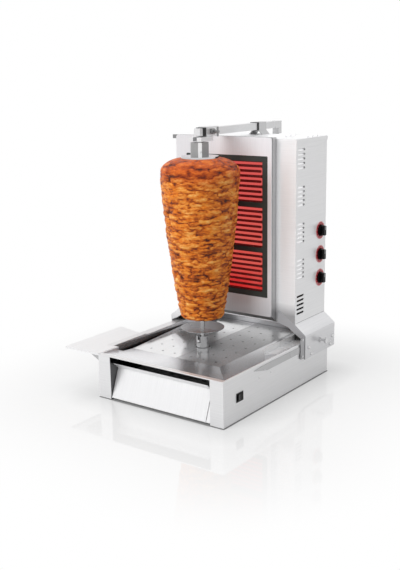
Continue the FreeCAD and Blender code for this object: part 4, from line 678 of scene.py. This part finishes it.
def column_way(column):
    """The angle of a column of the kebab's mesh, and the level direction to it."""
    angle = 2 * math.pi * column / MEAT_COLUMNS
    return angle, Vector((math.cos(angle), math.sin(angle), 0))
def build_meat(name):
    """A lathe of many small faces, pushed out where slices bulge and in where they meet."""
    low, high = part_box("meat")
    axis = centre("meat")
    height = high.z - low.z
    slices, tree = lay_slices(height)
    vertices = []
    tones = []

    for step in range(MEAT_ROWS + 1):
        radius, z = meat_profile(step / MEAT_ROWS)
        share = (z - low.z) / height
        plain_row = slice_row(z - low.z, height)
        calm = 1 - CALM_SHARE * smooth(share, *CALM_RANGE)
        for column in range(MEAT_COLUMNS):
            angle, turn = column_way(column)
            around = turn * radius
            row = waved(plain_row, around, z, ROW_WAVES)
            bent = waved(angle, around, z, TURN_WAVES)
            near = [slices[index] for _, index, _ in tree.find_n(slice_place(bent, row), SLICES_TRIED)]
            shapes = sorted((piece.shape(bent, row) + (piece.chance,) for piece in near), reverse=True)
            out, round_part, up, chance = shapes[0]
            out = max(out, -CREASE_DEPTH)
            crease = 1 - smooth(out - max(shapes[1][0], -NEXT_SLICE_DEPTH), 0.0, CREASE_WIDTH)
            out = waved(out, around, z, GRAIN_WAVES)
            reach = waved(radius - SLICES_SUNK + out * calm, around, z, BODY_WAVES)
            vertices.append((axis.x + turn.x * reach, axis.y + turn.y * reach, z))
            # Painted shade: the tone drops in the creases, most under the slice above and where the
            # char-and-shade waves say; the middles are paler, partly as a painted highlight
            under_shade = UNDER_SHADE_LEAST + (1 - UNDER_SHADE_LEAST) * smooth(up, *UNDER_SHADE_RANGE)
            char_and_shade = CHAR_AND_SHADE_LEAST + (1 - CHAR_AND_SHADE_LEAST) * smooth(waved(0.0, around, z, CHAR_AND_SHADE_WAVES), *CHAR_AND_SHADE_RANGE)
            level = LEVEL_START + LEVEL_ROUND * smooth(round_part, *ROUND_RANGE)
            level += LEVEL_CHANCE * (chance - 0.5)
            level -= LEVEL_CREASE_SHADE * crease * under_shade * char_and_shade
            glazed = smooth(waved(0.0, around, z, GLAZE_WAVES), *GLAZE_RANGE)
            redness = smooth(waved(share, around, z, REDNESS_WAVES), *REDNESS_RANGE)
            tones.append((level, GLAZE_MOST * glazed, REDNESS_MOST * redness, 1.0))
    faces = []
    for step in range(MEAT_ROWS):
        for column in range(MEAT_COLUMNS):
            a = step * MEAT_COLUMNS + column
            b = step * MEAT_COLUMNS + (column + 1) % MEAT_COLUMNS
            faces.append((a, b, b + MEAT_COLUMNS, a + MEAT_COLUMNS))

    def cap(first, z_end, flip):
        """Rings that close the top or the foot in to the spit."""
        previous = [first + column for column in range(MEAT_COLUMNS)]
        start = [vertices[index] for index in previous]
        for ring in range(1, MEAT_CAP_RINGS + 1):
            inward = ring / MEAT_CAP_RINGS
            current = []
            for column in range(MEAT_COLUMNS):
                turn = column_way(column)[1]
                reach = math.hypot(start[column][0] - axis.x, start[column][1] - axis.y)
                place = turn * (reach * (1 - inward) + ROD_RADIUS * inward)
                spot = Vector((place.x / CAP_DIP_SIZE, place.y / CAP_DIP_SIZE, z_end * 9))
                dip = CAP_DIP * (noise.noise(spot) - 0.6) * (min(1.0, 4 * inward) * (1 if flip else -1))
                current.append(len(vertices))
                vertices.append((axis.x + place.x, axis.y + place.y, z_end + dip))
                tones.append((0.40 + 0.2 * noise.noise(place * 90), 0.5, 0.9 if flip else 0.35, 1.0))
            for column in range(MEAT_COLUMNS):
                other = (column + 1) % MEAT_COLUMNS
                ring_face = (previous[column], previous[other], current[other], current[column])
                faces.append(ring_face if flip else ring_face[::-1])
            previous = current

    cap(MEAT_ROWS * MEAT_COLUMNS, high.z, True)
    cap(0, low.z, False)
    mesh = bpy.data.meshes.new(name)
    mesh.from_pydata(vertices, [], faces)
    for polygon in mesh.polygons:
        polygon.use_smooth = True
    layer = mesh.color_attributes.new("tone", "FLOAT_COLOR", "POINT")
    layer.data.foreach_set("color", [part for tone in tones for part in tone])
    obj = link(bpy.data.objects.new(name, mesh))
    obj.data.materials.append(meat_material())
    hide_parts("meat")
    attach(obj, "spit")
    return obj


build_meat("kebab_slices")


# Control side: marks and numbers of the dials, pointers of the knobs


def flat_piece(name, outlines, x_low, x_high, body, material):
    """Flat outlines in Y and Z, given some thickness in X."""
    mesh = bpy.data.meshes.new(name)
    build = bmesh.new()
    for loop in outlines:
        corners = [build.verts.new((x_low, y, z)) for y, z in loop]
        face = build.faces.new(corners)
        grown = bmesh.ops.extrude_face_region(build, geom=[face])
        moved = [item for item in grown["geom"] if isinstance(item, bmesh.types.BMVert)]
        bmesh.ops.translate(build, verts=moved, vec=(x_high - x_low, 0, 0))
    bmesh.ops.recalc_face_normals(build, faces=build.faces)
    build.to_mesh(mesh)
    build.free()
    obj = link(bpy.data.objects.new(name, mesh))
    obj.data.materials.append(material)
    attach(obj, body)
    return obj


MARK_COUNT = 11
MARK_SWEEP = 270.0
MARK_FIRST = 225.0
MARK_HEIGHT = 0.00015
MARK_HALF = 0.00035
MARK_INNER = 0.72
MARK_OUTER = 0.80
NUMBER_SIZE = 0.0052
NUMBER_PLACE = 0.885
POINTER_HALF = 0.0009
POINTER_START = 0.002
POINTER_SHORT = 0.0045
POINTER_SUNK = 0.0001
KNOB_BODIES = ("knob_upper", "knob_middle", "knob_lower")


def mark_angle(index):
    """The first mark is at the lower left of its dial, the last at the lower right."""
    return math.radians(MARK_FIRST - MARK_SWEEP * index / (MARK_COUNT - 1))


def tick(y, z, angle, inner, outer, half):
    """The corners of one mark on a ray from the dial's middle."""
    along = Vector((math.cos(angle), math.sin(angle)))
    side = Vector((-along.y, along.x)) * half
    middle = Vector((y, z))
    corners = [middle + along * inner - side, middle + along * outer - side,
               middle + along * outer + side, middle + along * inner + side]
    return [(corner.x, corner.y) for corner in corners]


def dial_marks(number, middle):
    """The ring of marks of one dial, and a number at every second mark."""
    inner, outer = dial_radius * MARK_INNER, dial_radius * MARK_OUTER
    marks = []
    for index in range(MARK_COUNT):
        marks.append(tick(middle.y, middle.z, mark_angle(index), inner, outer, MARK_HALF))
    flat_piece("dial_ticks_%d" % number, marks, dial_high.x, dial_high.x + MARK_HEIGHT, "tower",
               WHITE_PRINT)
    for index in range(0, MARK_COUNT, 2):
        angle = mark_angle(index)
        curve = bpy.data.curves.new("dial_number", "FONT")
        curve.body = str(index)
        curve.size = NUMBER_SIZE
        curve.align_x = "CENTER"
        curve.align_y = "CENTER"
        curve.extrude = MARK_HEIGHT / 2
        text = bpy.data.objects.new("dial_number_source", curve)
        mesh = bpy.data.meshes.new_from_object(text)
        bpy.data.objects.remove(text)
        reach = dial_radius * NUMBER_PLACE
        place = Vector((dial_high.x + MARK_HEIGHT / 2, middle.y + reach * math.cos(angle),
                        middle.z + reach * math.sin(angle)))
        turn = Matrix(((0, 0, 1), (1, 0, 0), (0, 1, 0))).to_4x4()
        mesh.transform(Matrix.Translation(place) @ turn)
        obj = link(bpy.data.objects.new("dial_%d_number_%d" % (number, index), mesh))
        obj.data.materials.clear()
        obj.data.materials.append(WHITE_PRINT)
        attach(obj, "tower")


for knob_number, (knob_centre, knob_body) in enumerate(zip(knob_centres, KNOB_BODIES), 1):
    dial_marks(knob_number, knob_centre)
    knob_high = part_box("knob_%d" % knob_number)[1]
    side_1, side_2 = knob_centre.y - POINTER_HALF, knob_centre.y + POINTER_HALF
    start, tip = knob_centre.z + POINTER_START, knob_high.z - POINTER_SHORT
    pointer = [[(side_1, start), (side_2, start), (side_2, tip), (side_1, tip)]]
    flat_piece("knob_pointer_%d" % knob_number, pointer, knob_high.x - POINTER_SUNK,
               knob_high.x + MARK_HEIGHT, knob_body, WHITE_PRINT)
# Pressed lips behind the vent slots of the upper groups, in a paler steel, so that the slots show bright:
# painted light. The slots' sizes are those of the part's source

TOWER_TOP = 0.753
BOX_FRONT = 0.142
SLOT_LENGTH = 0.043
SLOT_PITCH = 0.0135
SLOTS_PER_GROUP = 5
SLOT_GROUP_PITCH = 0.1123
SLOT_GROUP_DROP = 0.059
SLOT_FROM_FRONT = 0.0315
LIP_GROUPS = 4
LIP_OVERLAP = 0.002
LIP_HALF_HEIGHT = 0.0052
LIP_BEHIND = 0.0020
LIP_LEAN = 0.0030
LIP_SHEET = 0.0006


def closed_piece(name, vertices, faces, material):
    """An object with its faces turned outwards."""
    mesh = bpy.data.meshes.new(name)
    mesh.from_pydata(vertices, [], faces)
    build = bmesh.new()
    build.from_mesh(mesh)
    bmesh.ops.recalc_face_normals(build, faces=build.faces)
    build.to_mesh(mesh)
    build.free()
    obj = link(bpy.data.objects.new(name, mesh))
    obj.data.materials.append(material)
    return obj


def lip_piece(name):
    """Leaning strips, one behind each slot: what shows through a slot is the lip's bright face, painted
    light that stands for the light through the slot.
    """
    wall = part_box("tower_shell")[1].x
    middle_y = BOX_FRONT + SLOT_FROM_FRONT
    vertices = []
    faces = []
    for group in range(LIP_GROUPS):
        group_z = TOWER_TOP - SLOT_GROUP_DROP - group * SLOT_GROUP_PITCH
        for index in range(SLOTS_PER_GROUP):
            z = group_z + (SLOTS_PER_GROUP / 2 - 0.5 - index) * SLOT_PITCH
            first = len(vertices)
            for x_shift in (0.0, -LIP_SHEET):
                for end in (-0.5, 0.5):
                    y = middle_y + end * (SLOT_LENGTH + LIP_OVERLAP)
                    vertices.append((wall - LIP_BEHIND - LIP_LEAN + x_shift, y, z + LIP_HALF_HEIGHT))
                    vertices.append((wall - LIP_BEHIND + x_shift, y, z - LIP_HALF_HEIGHT))
            a, b, c, d, e, f, g, h = range(first, first + 8)
            faces += [(a, b, d, c), (e, g, h, f), (a, c, g, e), (b, f, h, d), (a, e, f, b), (c, d, h, g)]
    obj = closed_piece(name, vertices, faces, LIP_STEEL_PAINTED_LIGHT)
    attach(obj, "tower")


lip_piece("vent_lips")


# Bushings of the two sleeves on the bar: black nylon rings, whose black also stands for the shade in front
# of the sleeves (painted shade). The spit's place and the block's setback are those of the source

SPIT_Y = -0.020
BLOCK_SETBACK = 0.015
BUSH_PLAY = 0.0002
BUSH_WALL = 0.0014
BLOCK_BUSH_REACH = 0.0135
SUPPORT_BUSH_REACH = 0.010


def bushing(name, sleeve_front, reach, body):
    """A square nylon ring on the bar that stands out in front of a sleeve."""
    bar_low, bar_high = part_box("arm_bar")
    vertices = []
    for y in (sleeve_front - reach, sleeve_front - BUSH_PLAY):
        for grow in (BUSH_PLAY, BUSH_PLAY + BUSH_WALL):
            left, right = bar_low.x - grow, bar_high.x + grow
            foot, top = bar_low.z - grow, bar_high.z + grow
            vertices += [(left, y, foot), (right, y, foot), (right, y, top), (left, y, top)]
    faces = []
    for k in range(4):
        n = (k + 1) % 4
        faces += [(k, n, 4 + n, 4 + k), (8 + k, 12 + k, 12 + n, 8 + n), (k, 8 + k, 8 + n, n),
                  (4 + k, 4 + n, 12 + n, 12 + k)]
    obj = closed_piece(name, vertices, faces, NYLON)
    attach(obj, body)


bushing("block_bushing", SPIT_Y + BLOCK_SETBACK, BLOCK_BUSH_REACH, "block")
bushing("support_bushing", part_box("arm_support")[0].y, SUPPORT_BUSH_REACH, "tower")
# Camera


def set_camera():
    """The pinhole camera that was fitted to the photo."""
    data = bpy.data.cameras.new("camera")
    data.sensor_width = SENSOR
    data.lens = FOCAL_PIXELS / LONG_SIDE * SENSOR
    yaw, pitch, roll = (math.radians(angle) for angle in (CAMERA_YAW, CAMERA_PITCH, CAMERA_ROLL))
    forward = Vector((-math.sin(yaw) * math.cos(pitch), math.cos(yaw) * math.cos(pitch), -math.sin(pitch)))
    level = Vector((math.cos(yaw), math.sin(yaw), 0))
    up = level.cross(forward)
    right = level * math.cos(roll) + up * math.sin(roll)
    upward = up * math.cos(roll) - level * math.sin(roll)
    camera = link(bpy.data.objects.new("camera", data))
    turn = Matrix((right, upward, -forward)).transposed().to_4x4()
    camera.matrix_world = Matrix.Translation(CAMERA_PLACE) @ turn
    bpy.context.scene.camera = camera


set_camera()


# Floor, white surroundings and soft lamps

WORLD_LIGHT = 0.32
FLOOR_SIZE = 30.0
FLOOR_GAP = 0.0004
FLOOR_ALBEDO = 0.6
FLOOR_SEEN_ALBEDO = 0.9
FLOOR_GLOW = 0.55
FLOOR_POLISH = 0.16
FLOOR_ROUGHNESS = 0.03
# Painted shadow on the floor round the base: its light there, how far it reaches, and the dark line's width
PAINTED_SHADOW_GLOW = 0.72
PAINTED_SHADOW_REACH = 0.11
PAINTED_SHADOW_LINE = 0.0035
FADE_START = 0.05
FADE_END = 0.60
LAMPS_AIM = (0.0, 0.05, 0.4)
LAMPS = (("key", (-1.1, -3.1, 2.0), 2.6, 100),
         ("fill", (2.6, -0.2, 1.3), 1.4, 8),
         ("top", (0.2, 0.3, 2.6), 2.0, 22))


def backdrop_switch(t):
    """1 for rays that should meet the white backdrop: camera, mirror and see-through rays."""
    path = t.add("LightPath")
    seen = t.math("MAXIMUM", path.outputs["Is Camera Ray"], path.outputs["Is Glossy Ray"])
    return t.math("MAXIMUM", seen, path.outputs["Is Transmission Ray"])


def set_world():
    """A dim even light on the object, and white where the backdrop is seen."""
    world = bpy.data.worlds.new("studio")
    bpy.context.scene.world = world
    world.use_nodes = True
    t = Tree(world.node_tree)
    t.tree.nodes.clear()

    def even(strength):
        node = t.add("Background")
        node.inputs["Color"].default_value = (1, 1, 1, 1)
        node.inputs["Strength"].default_value = strength
        return node.outputs[0]

    surroundings = t.mix_shaders(backdrop_switch(t), even(WORLD_LIGHT), even(1.0))
    t.join(surroundings, t.add("OutputWorld").inputs["Surface"])


def set_floor():
    """A white glossy table: its own light keeps it white, its matt share takes the shadow, and its light is
    painted dimmer near the base and off in a thin line along it (painted shadow).
    """
    mesh = bpy.data.meshes.new("floor")
    build = bmesh.new()
    bmesh.ops.create_grid(build, x_segments=1, y_segments=1, size=FLOOR_SIZE)
    build.to_mesh(mesh)
    build.free()
    floor = link(bpy.data.objects.new("floor", mesh))
    floor.location.z = -FLOOR_GAP
    material = bpy.data.materials.new("floor")
    material.use_nodes = True
    t = Tree(material.node_tree)
    t.tree.nodes.clear()

    def matt(albedo):
        node = t.add("BsdfDiffuse")
        node.inputs["Color"].default_value = (albedo, albedo, albedo, 1)
        return node.outputs[0]

    def shining(strength):
        node = t.add("Emission")
        t.fill(node.inputs["Strength"], strength)
        return node.outputs[0]

    places = t.add("SeparateXYZ")
    t.join(t.add("TexCoord").outputs["Object"], places.inputs["Vector"])
    base_low, base_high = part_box("base_shell")
    away = t.add("CombineXYZ")
    for index, axis in enumerate("XY"):
        low, high = base_low[index], base_high[index]
        from_middle = t.math("ABSOLUTE", t.math("SUBTRACT", places.outputs[axis], (low + high) / 2))
        past_edge = t.math("SUBTRACT", from_middle, (high - low) / 2)
        t.join(t.math("MAXIMUM", past_edge, 0.0), away.inputs[axis])
    length = t.add("VectorMath", operation="LENGTH")
    t.join(away.outputs[0], length.inputs[0])
    distance = length.outputs["Value"]

    fade = t.spread(distance, 0.0, 1.0, FADE_START, FADE_END, "SMOOTHSTEP")
    # Painted shadow: the floor's own light dims towards the base and goes out in a thin line along it
    painted_shadow = t.spread(distance, PAINTED_SHADOW_GLOW, 1.0, 0.0, PAINTED_SHADOW_REACH)
    outside_painted_line = t.math("GREATER_THAN", distance, PAINTED_SHADOW_LINE)
    gloss = t.add("BsdfGlossy")
    gloss.inputs["Roughness"].default_value = FLOOR_ROUGHNESS
    white = shining(t.math("MULTIPLY", painted_shadow, outside_painted_line))
    seen = t.mix_shaders(FLOOR_GLOW, matt(FLOOR_SEEN_ALBEDO), white)
    polished = t.mix_shaders(FLOOR_POLISH, seen, gloss.outputs[0])
    faded = t.mix_shaders(fade, polished, shining(1.0))
    surface = t.mix_shaders(backdrop_switch(t), matt(FLOOR_ALBEDO), faded)
    t.join(surface, t.add("OutputMaterial").inputs["Surface"])
    mesh.materials.append(material)


def lamp(name, place, side, power):
    """A square soft lamp that shines on the object and isn't seen in its metal."""
    data = bpy.data.lights.new(name, "AREA")
    data.shape = "RECTANGLE"
    data.size = side
    data.size_y = side
    data.energy = power
    obj = link(bpy.data.objects.new(name, data))
    obj.location = place
    obj.rotation_euler = (Vector(LAMPS_AIM) - Vector(place)).to_track_quat("-Z", "Y").to_euler()
    obj.visible_glossy = False


set_world()
set_floor()
for lamp_name, lamp_place, lamp_side, lamp_power in LAMPS:
    lamp(lamp_name, lamp_place, lamp_side, lamp_power)

bpy.context.scene.view_settings.view_transform = "Standard"
